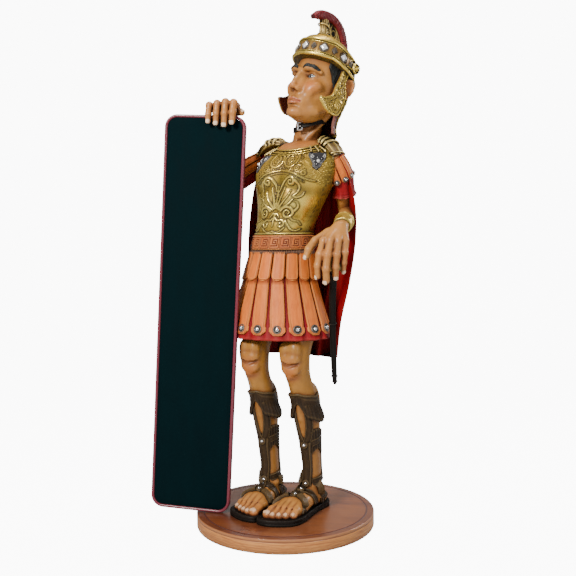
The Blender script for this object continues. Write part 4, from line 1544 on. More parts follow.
def makeHead():
    clay = Clay((-102, -124, -196), (102, 112, 92), 2.45)
    clay.column(headLevels, 3)
    # neck, down into the collar
    down = headPlace.inverted() @ figurePlace
    neck = [carry(down, p) for p in ((84, 34, 1288), (84, 32, 1335), (92, 30, 1375), (106, 28, 1425),
                                     (125, 28, 1470))]
    for (a, b), (ra, rb) in zip(zip(neck, neck[1:]), ((50, 41), (41, 39), (39, 42), (42, 48))):
        clay.stick(a, b, ra, rb, 14)
    pit = carry(down, (78, -22, 1318))
    for side in (-1, 1):
        clay.stick((side * 58, 30, -66), pit + (side * 9, 10, 6), 8, 6, 12)  # tendon from behind the ear
        clay.stick(pit + (side * 8, 4, 2), pit + (side * 62, 30, 8), 7, 8, 10)  # collar bone
    clay.ball(carry(down, (90, -14, 1384)), (7, 8, 11), 9)
    clay.ball(pit + (0, 2, 8), (9, 8, 9), 8, take=True)
    e, h, b = face["eyeApart"], face["eyeHeight"], face["eyeBack"]
    # sockets, brow, temples and cheekbones
    clay.ball((e, -98, h - 1), (21, 20, 14), 12, take=True, mirror=True)
    clay.sticks([(9, -91, 19), (24, -92, 25), (42, -82, 25), (58, -66, 18)], (7, 8, 7.5, 6), 11, mirror=True)
    clay.ball((47, -60, -26), (22, 18, 15), 16, mirror=True)
    clay.ball((34, -72, -40), (18, 14, 20), 14, mirror=True)
    clay.ball((80, -40, 30), (12, 26, 22), 14, take=True, mirror=True)
    # nose: bridge, tip, wings and nostrils
    clay.sticks([(0, -88, 18), (0, -96, -2), (0, -104, -20), (0, -109, -36)], (7.5, 7, 8, 9.5), 8)
    clay.ball((0, -111, -39), (10.5, 9.5, 9), 6)
    clay.sticks([(8, -82, -2), (10, -88, -26), (12, -91, -42)], (8, 8, 8), 13, mirror=True)
    clay.ball((12, -98, -45), (7.5, 10, 7.5), 7, mirror=True)
    clay.ball((6.5, -104, -52.5), (3.6, 5.2, 4.0), 2.5, take=True, mirror=True)
    # mouth: the mound of the teeth, two lips, the line between them and the hollow above
    clay.ball((0, -72, -76), (34, 23, 24), 16)
    clay.sticks([(-25, -83, -80), (-14, -91.5, -77), (-5, -96.5, -74), (0, -95.8, -75.5), (5, -96.5, -74),
                 (14, -91.5, -77), (25, -83, -80)], (2.6, 4.2, 4.9, 4.5, 4.9, 4.2, 2.6), 4)
    clay.sticks([(-22, -83.5, -83), (-11, -92, -86.5), (0, -95.2, -87.5), (11, -92, -86.5), (22, -83.5, -83)],
                (2.6, 5.4, 6.2, 5.4, 2.6), 4)
    clay.sticks([(-26.5, -85, -80.2), (-13, -97, -80.8), (0, -102, -80.4), (13, -97, -80.8),
                 (26.5, -85, -80.2)],
                (1.2, 1.5, 1.4, 1.5, 1.2), 2.4, take=True)
    clay.sticks([(0, -98, -58), (0, -98.5, -67)], 2.4, 5, take=True)
    clay.sticks([(-16, -90, -97), (0, -94, -98.5), (16, -90, -97)], 3.6, 9, take=True)
    clay.ball((0, -80, -113), (19, 17, 15), 14)
    clay.sticks([(58, 8, -62), (44, -30, -92), (20, -70, -112)], 9, 16, mirror=True)  # jaw
    # eyelids: a shell round each eyeball with an almond opening
    for side in (-1, 1):
        eye = np.array((e * side, b, h), float)
        cut, (x, y, z) = clay.near(eye - 19, eye + 19, 3)
        shell = np.sqrt((x - eye[0]) ** 2 + (y - eye[1]) ** 2 + (z - eye[2]) ** 2) - face["eyeRadius"] - 2.3
        clay.merge(cut, shell, 4, False)
        for fold, size, blend in ((((-15, -7, 3), (-9, -13.5, 10), (1, -16.5, 12.5), (11, -13, 9),
                                    (17, -5, 2)), 2.4, 3),
                                  # above and below
                                  (((-12, -10, -8), (0, -14, -11.5), (12, -9, -9)), 1.6, 5)):
            clay.sticks([eye + (s * side, y, z) for s, y, z in fold], size, blend)
        radius, half = 19.0, face["lidOpen"]
        cut, (x, y, z) = clay.near(eye + (-15, -24, -8), eye + (15, -9, 8), 2)
        tip = 1.4 * (x - eye[0]) / 14 * side
        up = np.sqrt((x - eye[0]) ** 2 + (z - eye[2] - tip * 0.4 + radius - half) ** 2) - radius
        low = np.sqrt((x - eye[0]) ** 2 + (z - eye[2] - tip * 0.4 - radius + half * 0.82) ** 2) - radius
        lens = np.maximum(np.maximum(up, low), y - (eye[1] - 6))
        clay.merge(cut, lens, 1.0, True)
    # ears: rim, bowl, flap and lobe
    clay.ball((78, 26, 4), (10, 15, 24), 8, mirror=True)
    clay.ball((89, 33, 4), (4.5, 15, 27), 4, mirror=True)
    clay.sticks(earPath, (3.2, 3.6, 4.2, 4.4, 4.4, 4.2, 4.2, 5.2, 5.5), 3, mirror=True)
    clay.ball((96, 31, 0), (6.5, 7.5, 12), 4, take=True, mirror=True)
    clay.sticks([(95, 30, 24), (98, 38, 18), (99, 41, 4), (97, 37, -8)], 2.0, 4, take=True, mirror=True)
    clay.ball((86, 19, -2), (5, 4.5, 6.5), 3, mirror=True)
    points, faces = clay.surface(2)
    px, py, pz = points.T
    keep = pz < 80
    faces = faces[keep[faces].all(1)]
    ax = np.abs(px)
    front = smoothStep(-py, 40, 70)
    lips = np.maximum(bump(pz, -75.5 - 0.0065 * px ** 2, 4.4), bump(pz, -87.0 + 0.009 * px ** 2, 5.6))
    lips = smoothStep(lips * (ax < 27) * (py < -82), 0.35, 0.75)
    mouth = bump(pz, -80.4, 1.5) * (ax < 27) * (py < -80)
    blush = 0.8 * bump(ax, 44, 20) * bump(pz, -30, 20) * front + 0.5 * bump(px, 0, 15) * bump(pz, -40,
                                                                                              14) * front
    blush = blush + 0.35 * bump(px, 0, 22) * bump(pz, -114, 14) * front + 0.45 * smoothStep(ax, 84, 92)
    shade = 0.55 * front * bump(ax, 30, 22) * bump(pz, h + 3, 15) + 0.5 * bump(px, 0, 24) * bump(pz, -98.5,
                                                                                                 5) * front
    shade = shade + 0.5 * bump(ax, 30, 9) * bump(pz, -62, 16) * front
    shade = shade + 0.6 * smoothStep(pz, -112, -138) * smoothStep(-py, 90, 20)
    shade = shade + 0.9 * mouth + 0.45 * smoothStep(ax, 60, 72) * bump(pz, -40, 40)
    nostril = np.exp(-(((ax - 6.5) / 4.2) ** 2 + ((pz + 52) / 4.2) ** 2)) * (py < -94)
    lidLine = np.abs(np.hypot(ax - e, (pz - h) * 2.0) - 14.5)
    lash = bump(lidLine, 0, 1.6) * (pz > h + 1) * (py < b - 8) * (ax > e - 15) * (ax < e + 16)
    ink = np.clip(0.9 * nostril + 0.75 * lash, 0, 1)
    browLine = 25.5 - 0.012 * (ax - 30) ** 2
    brow = smoothStep(4.6 + 1.6 * bump(ax, 22, 12) - np.abs(pz - browLine - 3), 0, 1.6)
    brow = brow * (ax > 10) * (ax < 54) * front
    ink = np.maximum(ink, np.clip(brow, 0, 1) * 0.96)
    beard = 0.22 * smoothStep(-pz, 52, 84) * front
    shade = np.clip(np.maximum(shade, beard), 0, 1)
    skinned = Shape().add(points, faces, blush=np.clip(blush, 0, 1), shade=shade, lip=lips, ink=ink,
                          ochre=0.25)
    skinned.piece("head", skin, headPlace, sharp=180)
    tree = BVHTree.FromPolygons(points.tolist(), faces.tolist())
    makeBrows(tree)
    makeEyes()
    makeHair()
    outwards = figurePlace.inverted() @ headPlace
    return BVHTree.FromPolygons([carry(outwards, q) for q in points], faces.tolist())


brows = dict(start=11, long=43, height=28, hairs=16, thick=1.5)


def makeBrows(tree):  # raised hairs combed outwards over the painted brows
    hair = Shape()
    for side in (-1, 1):
        for row in range(4):
            for k in range(brows["hairs"]):
                t = (k + 0.25 * row) / brows["hairs"]
                x = brows["start"] + brows["long"] * t
                z = brows["height"] - 0.012 * (x - 30) ** 2 + 0.5 * math.sin(k * 2.4 + row)
                z += (row - 1.5) * 2.3 * (1 - 0.5 * t)
                root, _ = surfacePoint(tree, (side * x, -100 + 0.0115 * (x - 10) ** 2, z))
                far = (side * (x + 7), -100 + 0.0115 * (x - 3) ** 2, z + 3.4 - 4.6 * t)
                middle, _ = surfacePoint(tree, (root + far) / 2, 1.4)
                end, _ = surfacePoint(tree, far, 0.3)
                r = brows["thick"]
                hair.tube([(*root, r * 0.8, r * 0.8), (*middle, r, r), (*end, r * 0.35, r * 0.35)], 6, 2,
                          dome=0.3)
    hair.piece("eyebrows", hairPaint, headPlace, sharp=180)


def makeEyes():
    balls = Shape()
    gazeAt = unit((0.10, -1, 0.04))
    for side in (-1, 1):
        centre = np.array((face["eyeApart"] * side, face["eyeBack"], face["eyeHeight"]), float)
        lat, lon = np.meshgrid(np.linspace(0.001, math.pi / 1.7, 40), roundAngles(44), indexing="ij")
        right = unit(np.cross(gazeAt, (0, 0, 1)))
        up = np.cross(right, gazeAt)
        way = (gazeAt * np.cos(lat)[..., None] + right * (np.sin(lat) * np.cos(lon))[..., None]
               + up * (np.sin(lat) * np.sin(lon))[..., None])
        bulge = 1 + 0.045 * bump(lat, 0, 0.38)
        points = centre + way * (face["eyeRadius"] * bulge)[..., None]
        glint = bump(np.hypot(lat * np.cos(lon - 2.2) - 0.26, lat * np.sin(lon - 2.2)), 0, 0.09)
        balls.loft(points, gaze=lat * 1.02, glint=np.clip(glint * 1.4, 0, 1))
    balls.piece("eyes", eyePaint, headPlace, sharp=180)


def makeHair():  # side whiskers and the hair below the helmet, in combed strands
    hair = Shape()
    v, u = np.meshgrid(np.linspace(0, 1, 40), np.linspace(0, 1, 80), indexing="ij")
    # u runs from the temple back to the nape, v from the helmet's rim down
    low = np.interp(u, (0, 0.1, 0.22, 0.32, 0.40, 0.62, 0.70, 0.85, 1.0),
                    (46, 26, -14, -26, 12, 30, -40, -62, -70))
    z = 78 + (low - 78) * v
    _, cy, w, d = ovals(headLevels, z)
    k = np.clip((142 * u - 46 - cy) / d, -1, 1)
    x, y = w * np.sqrt(1 - k ** 2), k * d
    strand = 0.9 * np.sin(u * 190 + 3.0 * np.sin(v * 5 + u * 9)) + 0.7 * np.sin(u * 90 + v * 6)
    lift = 4.6 + strand - 6.5 * np.maximum(smoothStep(v, 0.86, 1.0), smoothStep(u, 0.05, 0.0))
    radial = unit(np.stack([x / w ** 2, (142 * u - 46 - cy) / d ** 2, 0 * x], -1))
    ground = np.stack([x, cy + y, z], -1)
    for side in (-1, 1):
        hair.sheet((ground + radial * lift[..., None]) * [side, 1, 1], (ground - radial * 6) * [side, 1, 1])
    hair.piece("hair", hairPaint, headPlace, sharp=180)


chinStrap = dict(centre=(99, 28.5, 1383), tilt=14, towards=2.1, wide=8.5, thick=2.8, buckleAt=-0.02,
                 buckle=(8.5, 12.5))


def makeChinStrap(tree):  # a strap round the throat, lying on the skin
    band, buckle = Shape(), Shape()
    centre = np.array(chinStrap["centre"], float)
    angle = roundAngles(180)
    level = chinStrap["tilt"] * np.cos(angle - chinStrap["towards"])
    reach = np.zeros((len(angle), 3))
    for i, a in enumerate(angle):
        out = np.array((math.sin(a), -math.cos(a), 0))
        for j, z in enumerate((-1, 0, 1)):
            start = centre + out * 130 + (0, 0, level[i] + z * chinStrap["wide"])
            hit = tree.ray_cast(Vector(start), Vector(-out))[0]
            reach[i, j] = 54 if hit is None else min(np.linalg.norm((np.array(hit) - centre)[:2]), 74)
    radius = reach.max(1)
    wide = np.stack([np.roll(radius, k) for k in range(-6, 7)]).max(0)
    radius = np.stack([np.roll(wide, k) for k in range(-5, 6)]).mean(0)
    ring = []
    w, lift = chinStrap["wide"], chinStrap["thick"]
    for i, a in enumerate(angle):
        ring.append([centre + np.array((math.sin(a) * (radius[i] + o), -math.cos(a) * (radius[i] + o),
                                        level[i] + z))
                     for o, z in ((-7, -w), (lift * 0.6, -w), (lift, -w * 0.84), (lift * 0.7, -w * 0.6),
                                  (lift * 0.7, w * 0.6), (lift, w * 0.84), (lift * 0.6, w), (-7, w))])
    band.loft(ring + ring[:1], caps=False)
    a = chinStrap["buckleAt"]
    n = np.array((math.sin(a), -math.cos(a), 0))
    t = np.array((math.cos(a), math.sin(a), 0))
    mid = centre + n * (np.interp(a % tau, angle, radius) + lift + 1.5)
    mid = mid + (0, 0, chinStrap["tilt"] * math.cos(a - chinStrap["towards"]))
    up = np.array((0, 0, 1.0))
    wide, tall = chinStrap["buckle"]
    corners = [(-wide, -tall), (wide, -tall), (wide, tall), (-wide, tall)]
    path = []
    for (x0, z0), (x1, z1) in zip(corners, corners[1:] + corners[:1]):
        for k in np.linspace(0, 1, 7)[:-1]:
            path.append(mid + t * (x0 + (x1 - x0) * k) + up * (z0 + (z1 - z0) * k))
    tubeAlong(buckle, path, 3.0, 10, closed=True, up=n)
    tubeAlong(buckle, [mid + t * wide + n, mid + n * 2, mid - t * wide + n * 1.5], 2.0, 8, up=(0, 0, 1))
    band.piece("chin_strap", blackSole, sharp=50)
    buckle.piece("chin_strap_buckle", steel, sharp=60)


makeChinStrap(makeHead())
print("head made")


bowlLevels = [(0, 6, 60, 92, 109), (0, 6, 63, 94, 111), (0, 6, 92, 93, 110), (0, 6, 122, 86, 102),
              (0, 6, 142, 64, 78),
              (0, 6, 150, 42, 52), (0, 6, 154.5, 16, 20), (0, 6, 155.5, 2, 3)]


def rimDrop(points):  # the brow band drops towards the nape
    moved = np.array(points, float)
    back = moved[..., 1] * np.where(moved[..., 1] > 0, 0.9, 1)
    moved[..., 1] = back
    moved[..., 2] -= np.maximum(0, back + 54) * 0.25
    return moved


def onBowl(angle, z, lift=0.0):
    return rimDrop(onOvals(bowlLevels, angle, z, lift))


lozenges = dict(apart=0.33, large=(16.0, 14.5), small=(7.5, 9.0))


def makeBowl():
    s = spline(bowlLevels, 10)
    a, row = np.meshgrid(roundAngles(220), np.arange(len(s)))
    z = s[row, 2]
    ribs = bump(((a / tau * 16) % 1) - 0.5, 0, 0.10) * smoothStep(z, 122, 130) * smoothStep(z, 155, 146)
    scale = (np.sin(a * 44 + np.floor(z / 6) * math.pi) * np.sin(z * math.pi / 6)) * (z > 62) * (z < 106)
    lift = 1.4 * ribs + 0.7 * scale
    x = (s[row, 3] + lift) * np.sin(a)
    y = 6 - (s[row, 4] + lift) * np.cos(a)
    points = rimDrop(np.stack([x, y, z], -1))
    band = smoothStep(z, 66, 72) * smoothStep(z, 112, 106)
    recess = 0.30 * band - 0.2 * scale * band + 0.45 * smoothStep(z, 118, 124) * smoothStep(z, 134, 126)
    recess = np.clip(recess, 0, 1)
    signed = (a + math.pi) % tau - math.pi
    number = np.round(signed / lozenges["apart"])
    half, tall = [np.where(number % 2 == 0, lozenges["large"][i], lozenges["small"][i]) for i in (0, 1)]
    inside = np.abs(signed - number * lozenges["apart"]) * 98 / half + np.abs(z - 91.5) / tall
    around = smoothStep(inside, 1.75, 1.25) * band * (np.abs(signed) < 2.05)
    recess = np.maximum(recess, np.maximum(around, smoothStep(z, 64, 61)))
    bowl = Shape().loft(points, recess=recess, tan=band * 0.95, edge=np.clip(0.5 * ribs + 0.3 * scale, 0, 1))
    bowl.piece("helmet_bowl", gold, headPlace, sharp=80)
    rims, t = Shape(), roundAngles(201)
    for low, out, thick, beads in ((66, 2.0, 5.6, 0), (74.5, 1.0, 2.2, 1), (108.5, 0.8, 2.0, 1),
                                   (116, 2.0, 4.6, 0)):
        r = thick * (1 + 0.22 * beads * np.sin(np.arange(len(t)) * tau / 3))
        cordRound(rims, t, onBowl(t, low, out), r, 1.1, 0.95, sides=8, edge=0.45)
    rims.piece("helmet_rims", gold, headPlace, sharp=80)
    frames, stones, dark = Shape(), Shape(), Shape()
    for k in range(13):  # lozenges round the brow band, light and dark in turn
        t = (k - 6) * lozenges["apart"]
        c = onBowl(t, 91.5, 2.0)
        n = unit((math.sin(t), -math.cos(t) * 0.85, 0.12))
        side = unit(np.cross((0, 0, 1), n))
        up = np.cross(n, side)
        half, tall = lozenges["large"] if k % 2 == 0 else lozenges["small"]
        path = [c + p - n * 0.02 * half * abs(np.dot(p, side)) for p in lozengeEdge(side, up, half, tall, 6)]
        tubeAlong(frames, path, 1.7, 8, closed=True, up=n)
        rings = [[c + p * share * 0.86 + n * h for p in lozengeEdge(side, up, half, tall, 4)]
                 for share, h in ((0.86, -3), (0.86, 0.8), (0.55, 3.2), (0.1, 4.0))]
        (stones if k % 2 == 0 else dark).loft(rings)
    frames.piece("lozenge_frames", darkIron, headPlace, sharp=60)
    stones.piece("pale_lozenges", whitePaint, headPlace, sharp=30)
    dark.piece("dark_lozenges", darkIron, headPlace, sharp=30)


def lozengeEdge(side, up, half, tall, steps):
    corners = [side * half, up * tall, -side * half, -up * tall]
    return [p + (q - p) * j / steps for p, q in zip(corners, corners[1:] + corners[:1]) for j in range(steps)]


guardHalf = 1.06  # half the turn that the gold part takes round the nape; the red lining goes on past it


def makeNeckGuard():
    v, u = np.meshgrid(np.linspace(0, 1, 46), np.linspace(-1, 1, 70), indexing="ij")
    z = 50 - 190 * v
    wide, deep = [np.interp(-z, (-50, 20, 90, 138), w) for w in ((91, 87, 79, 83), (99, 99, 84, 85))]
    a = u * guardHalf
    ridge = 1.6 * bump((v * 9) % 1 - 0.5, 0, 0.12) * (v > 0.3)
    border = bump(1 - np.abs(u), 0.03, 0.03) + bump(v, 0.985, 0.02)
    flare = 5.0 * smoothStep(v, 0.86, 1.0)

    def behind(angle, lift, z):
        return np.stack([(wide + lift) * np.sin(angle), 6 + (deep + lift) * np.cos(angle), z], -1)

    guard = Shape().sheet(behind(a, ridge + 2.4 * border + flare, z), behind(a, flare - 8, z),
                          edge=np.clip(border + ridge * 0.5, 0, 1),
                          recess=0.45 * (1 - np.clip(ridge, 0, 1)) * (v > 0.3))
    guard.piece("neck_guard", gold, headPlace, sharp=60)
    wider = a * 1.29 / guardHalf
    lining = behind(wider, flare - 9.2, z + 2)
    out = unit(np.stack([np.sin(wider), np.cos(wider), 0 * a], -1))
    under = lining + out * (1.6 + 6.4 * smoothStep(np.abs(wider), guardHalf - 0.02, guardHalf + 0.03))[...,
                                                                                                       None]
    Shape().sheet(lining, under).piece("neck_guard_lining", liningRed, headPlace, sharp=60)


guardOutline = [(-4, 76), (26, 76), (16, 34), (10, 10), (26, -16), (24, -44), (8, -95), (-34, -97),
                (-80, -62), (-48, -52),
                (-26, -34), (-22, -6), (-12, 24)]


# how far inside a closed outline a point lies, and below nought outside it
def insideDistance(outline, y, z):
    p = np.stack([y.ravel(), z.ravel()], -1)
    best, inside = np.full(len(p), 1e9), np.zeros(len(p), bool)
    o = np.asarray(outline, float)
    for a, b in zip(o, np.roll(o, -1, 0)):
        best = np.minimum(best, fromStretch(p, a, b)[0])
        cross, rise = (a[1] > p[:, 1]) != (b[1] > p[:, 1]), b[1] - a[1]
        x = a[0] + (p[:, 1] - a[1]) * (b[0] - a[0]) / (rise if abs(rise) > 1e-9 else 1e-9)
        inside ^= cross & (p[:, 0] < x)
    return np.where(inside, best, -best).reshape(np.shape(y))


def makeCheekGuards():
    plates, linings = Shape(), Shape()
    o = np.array(guardOutline, float)
    for _ in range(2):  # rounded corners, by cutting them twice
        after = np.roll(o, -1, 0)
        o = np.stack([0.8 * o + 0.2 * after, 0.2 * o + 0.8 * after], 1).reshape(-1, 2)
    engraving = [(spiral(-2, -62, 40, 1.5, 17, 4), 2.6, 1.4, 2.2),
                 (spline([(-4, -84), (-24, -86), (-46, -76), (-66, -66)], 8), 2.4, 1.2, 2),
                 (spline([(12, -30), (4, -42), (-12, -46)], 8), 2.4, 1.4, 2),
                 (spline([(-12, -30), (-24, -46), (-40, -60), (-58, -66)], 8), 2.2, 1.2, 2),
                 (spline([(-10, 60), (-6, 36), (-14, 14), (-10, -8)], 8), 2.4, 1.6, 2),
                 (spiral(-4, -22, 100, 1.2, 10, 3), 2.2, 1.2, 2),
                 (spiral(-34, -72, 20, -1.2, 9, 3), 2.0, 1.2, 1.8),
                 (spiral(-8, 66, 0, 1.0, 6, 3), 2, 1.2, 1.6)]
    cell = 2.3
    ys, zs = np.arange(-84, 30, cell), np.arange(-102, 80, cell)
    y, z = np.meshgrid(ys, zs, indexing="ij")
    away = insideDistance(o, y, z)
    keep = away > -cell * 0.9
    # pull the outermost points onto the outline
    gy, gz = np.gradient(away, cell)
    norm = np.maximum(gy ** 2 + gz ** 2, 1e-6)
    pull = np.where((away < cell * 0.6) & keep, -away, 0)
    y2, z2 = y + gy / norm * pull, z + gz / norm * pull
    rise, _ = strokeRelief(y, z, engraving)
    border = bump(away, 3.0, 2.0)
    curls = np.sin(y * 0.62 + 1.9 * np.sin(z * 0.24)) * np.sin(z * 0.66 + 1.7 * np.sin(y * 0.22 + 1))
    dimple = 1.3 * smoothStep(curls, 0.0, 0.4)
    lift = np.maximum(rise, 2.6 * border) + dimple * (border < 0.2) * (rise < 0.3) - 2.2 * smoothStep(away,
                                                                                                      1.6, 0)
    number = np.full(y.shape, -1)
    number[keep] = np.arange(keep.sum())
    q = np.stack([number[:-1, :-1], number[1:, :-1], number[1:, 1:], number[:-1, 1:]], -1).reshape(-1, 4)
    q = q[(q >= 0).all(1)]
    n = np.count_nonzero(keep)
    edges = np.concatenate([q[:, [i, (i + 1) % 4]] for i in range(4)])
    _, first, counts = np.unique(np.sort(edges, 1), axis=0, return_index=True, return_counts=True)
    bare = edges[first[counts == 1]]  # the plate's own outline, where a wall joins its two faces
    wall = np.stack([bare[:, 0], bare[:, 1], bare[:, 1] + n, bare[:, 0] + n], -1)
    faces = [q, q[:, ::-1] + n, wall]
    recess = np.clip(np.where(rise > 0.6, 0, 1.0 - 0.65 * dimple) * (away > 4.5), 0, 1)[keep]
    edge = np.clip(np.maximum(np.maximum(rise / 2.2, border), dimple * 0.5) * 0.7, 0, 1)[keep]
    off = 84 + 0.09 * np.maximum(0, 50 - z2) - 0.14 * np.maximum(0, -y2)
    for side in (-1, 1):
        def layer(x, share=1.0):
            return np.stack([side * (off + x), y2 * share, z2 * share], -1)[keep]

        plates.add(np.vstack([layer(8 + lift), layer(1.5)]), faces, recess=np.append(recess, recess * 0),
                   edge=np.append(edge, edge * 0))
        linings.add(np.vstack([layer(1.9), layer(-0.5, 0.985)]), faces)
        hinge = [(side * 96.5, -4 + 28 * t, 64) for t in np.linspace(0, 1, 24)]
        tubeAlong(plates, hinge, 3.2, 12, edge=0.5)
        centre = np.array((side * 98, 34, 72))  # boss behind the temple
        boss = [(17, -6), (17, 2), (15, 5), (12.5, 5), (11.5, 3), (8, 6), (4, 9), (0, 10)]
        plates.turned(boss, centre, (side, 0.12, 0.05), 36, edge=0.4, recess=0.3)
        for b in roundAngles(14):
            bead = centre + (side * 5, 13.7 * math.cos(b), 13.7 * math.sin(b))
            plates.turned([(1.9, 0), (1.6, 1.6), (0, 2.4)], bead, (side, 0, 0), 8, edge=0.6)
    plates.piece("cheek_guards", gold, headPlace, sharp=50)
    linings.piece("cheek_guard_linings", liningRed, headPlace, sharp=50)


crestPath = [(-106, 182), (-82, 199), (-48, 209.4), (-14, 209.4), (16, 198), (42, 174), (60, 146), (74, 114),
             (82, 84)]


def makeCrest():
    path = spline([(0, y, z) for y, z in crestPath], 18)
    along = unit(np.gradient(path, axis=0))
    up = np.stack([0 * along[:, 0], -along[:, 2], along[:, 1]], -1)
    length = np.concatenate([[0], np.cumsum(np.linalg.norm(np.diff(path, axis=0), axis=1))])
    b = roundAngles(48)
    tip = smoothStep(length, 0, 34)
    high, low = 8 + 7 * tip, 7 + 7 * tip
    rib = (np.abs(np.sin(length * math.pi / 6.5)) ** 0.6)[:, None]
    fine = 0.5 * np.sin(length * 3.1)[:, None] * np.sin(b * 5)
    shapeX = np.sign(np.cos(b)) * np.abs(np.cos(b)) ** 0.5
    shapeZ = np.sign(np.sin(b)) * np.abs(np.sin(b)) ** 0.6
    upper = np.where(np.sin(b) > 0, high[:, None], low[:, None])
    flute = (rib - 1) * 2.4 + fine
    half = (13.6 + 1.2 * rib) * (0.8 + 0.2 * tip[:, None])
    rings = (path[:, None] + np.array((1.0, 0, 0)) * (shapeX * (half + flute))[..., None]
             + up[:, None] * (shapeZ * (upper + flute * 0.7))[..., None])
    recess = np.broadcast_to(np.clip(1.0 - 1.5 * rib, 0, 1) * 0.9, rings.shape[:2])
    Shape().loft(rings, recess=recess).piece("crest_bristles", bristle, headPlace, sharp=180)
    holder = Shape()
    stem = [(0, -36, 128, 24, 24), (0, -38, 136, 20, 20), (0, -43, 148, 14.5, 15.5),
            (0, -50, 168, 11.5, 12.5),
            (0, -55, 182, 12.0, 14), (0, -59, 194, 12.5, 16), (0, -60, 197, 12, 15)]
    s = spline(stem, 10)
    angle, t = roundAngles(72), np.linspace(0, 1, len(s))
    fluted = 1.1 * np.cos(angle * 12) * smoothStep(t, 0.2, 0.5)[:, None]
    y, z, wide, deep = [s[:, i:i + 1] for i in range(1, 5)]
    sink = 0.25 * np.maximum(0, y - deep * np.cos(angle) + 54) * (t < 0.2)[:, None]
    rings = np.stack([(wide + fluted) * np.sin(angle), y - (deep + fluted) * np.cos(angle), z - sink], -1)
    holder.loft(rings, edge=np.clip(fluted / 1.1, 0, 1) * 0.6, recess=np.clip(-fluted / 1.1, 0, 1) * 0.5)
    for z, y, r in ((150, -43.5, 16.5), (178, -54, 16)):
        tubeAlong(holder, [(r * math.sin(a), y - r * 1.06 * math.cos(a), z) for a in angle], 2.2, 10,
                  closed=True, edge=0.5)
    # the open plate that carries the bristles, with its tracery
    inner = spline([(0, y, z) for y, z in ((-52, 202), (-14, 199), (10, 186), (33, 163), (50, 138), (60, 110),
                                           (64, 84))], 14)
    tubeAlong(holder, inner, 4.2, 10, up=(1, 0, 0), edge=0.5)
    low = spline([(0, y, z) for y, z in ((-34, 150), (-14, 155), (14, 148), (34, 130), (48, 108))], 12)
    tubeAlong(holder, low, 3.2, 10, up=(1, 0, 0), edge=0.4)
    for a0, a1, bend in (((-30, 154), (-34, 198), 6), ((-8, 156), (-18, 198), -7), ((8, 150), (6, 188), 7),
                         ((22, 142), (24, 172), -6),
                         ((36, 128), (42, 150), 5), ((46, 112), (56, 126), -4)):
        a0, a1 = np.array((0, *a0), float), np.array((0, *a1), float)
        middle = (a0 + a1) / 2 + (0, bend, 0)
        tubeAlong(holder, spline([a0, middle, a1], 8), 2.6, 8, up=(1, 0, 0), edge=0.5)
    for cy, cz, r in ((-26, 176, 9), (-4, 174, 10), (16, 162, 8), (34, 146, 6.5)):
        ring = [(0, cy + r * math.cos(a), cz + r * math.sin(a)) for a in roundAngles(28)]
        tubeAlong(holder, ring, 2.2, 8, closed=True, up=(1, 0, 0), edge=0.6)
    holder.piece("crest_holder", darkGold, headPlace, sharp=60)
    web = [(-46, 200), (-14, 197), (8, 185), (31, 162), (48, 137), (58, 110), (60, 88), (30, 118), (0, 146),
           (-32, 148)]
    back = Shape().loft([[(x, y, z) for y, z in web] for x in (-1.6, 1.6)])
    back.piece("crest_web", blackSole, headPlace, sharp=30)


makeBowl()
makeNeckGuard()
makeCheekGuards()
makeCrest()
print("helmet made")


cape = [  # height, right and left edge, how far back, how far its edges come forward, depth of its folds
    (1322, -64, 190, 64, 30, 2), (1262, -118, 222, 112, 62, 4), (1180, -150, 246, 142, 84, 7),
    (1080, -178, 258, 158, 84, 10),
    (960, -204, 244, 172, 74, 13), (820, -222, 208, 184, 58, 16), (680, -228, 162, 196, 42, 19),
    (545, -226, 134, 204, 30, 21)]


def makeCape():
    rows = spline(cape, 10)
    columns = 160
    share = np.linspace(-1, 1, columns)
    z, right, left, back, forward, fold = [rows[:, i:i + 1] for i in range(6)]
    drop = (1322 - z) / 777
    x = (left + right) / 2 + (left - right) / 2 * share
    soft = np.cos(math.pi * (5 * share + 0.35))
    sharpFold = soft * (0.75 + 0.25 * soft ** 2)
    small = 0.16 * fold * np.cos(math.pi * (13 * share + 1.1 + 0.8 * np.sin(2 * drop)))
    y = back - forward * np.abs(share) ** 2.4 + fold * sharpFold + small
    wave = 2.0 * np.sin(9 * drop + 4 * share) * drop
    outer = np.stack([x + 0 * y, y + wave, np.broadcast_to(z, x.shape)], -1)
    outer[-8:, :, 2] += np.linspace(0, 1, 8)[:, None] ** 2 * 3.0 * np.cos(math.pi * (5 * share + 0.35))
    inner = outer - [0, 8.0, 0]
    middle = (outer + inner) / 2
    end, start = middle[:, :1] - [1.8, 0, 0], middle[:, -1:] + [1.8, 0, 0]
    rings = np.concatenate([outer, start, inner[:, ::-1], end], 1)
    edge = np.zeros(rings.shape[:2])
    edge[-4:] = 0.35
    shadow = np.clip(-sharpFold, 0, 1) * smoothStep(drop, 0.1, 0.6) * 0.3
    recess = np.concatenate([shadow, shadow[:, :1] * 0, shadow[:, ::-1] * 0 + 0.1, shadow[:, :1] * 0], 1)
    Shape().loft(rings, edge=edge, recess=recess).piece("cape", capeCloth, sharp=180)


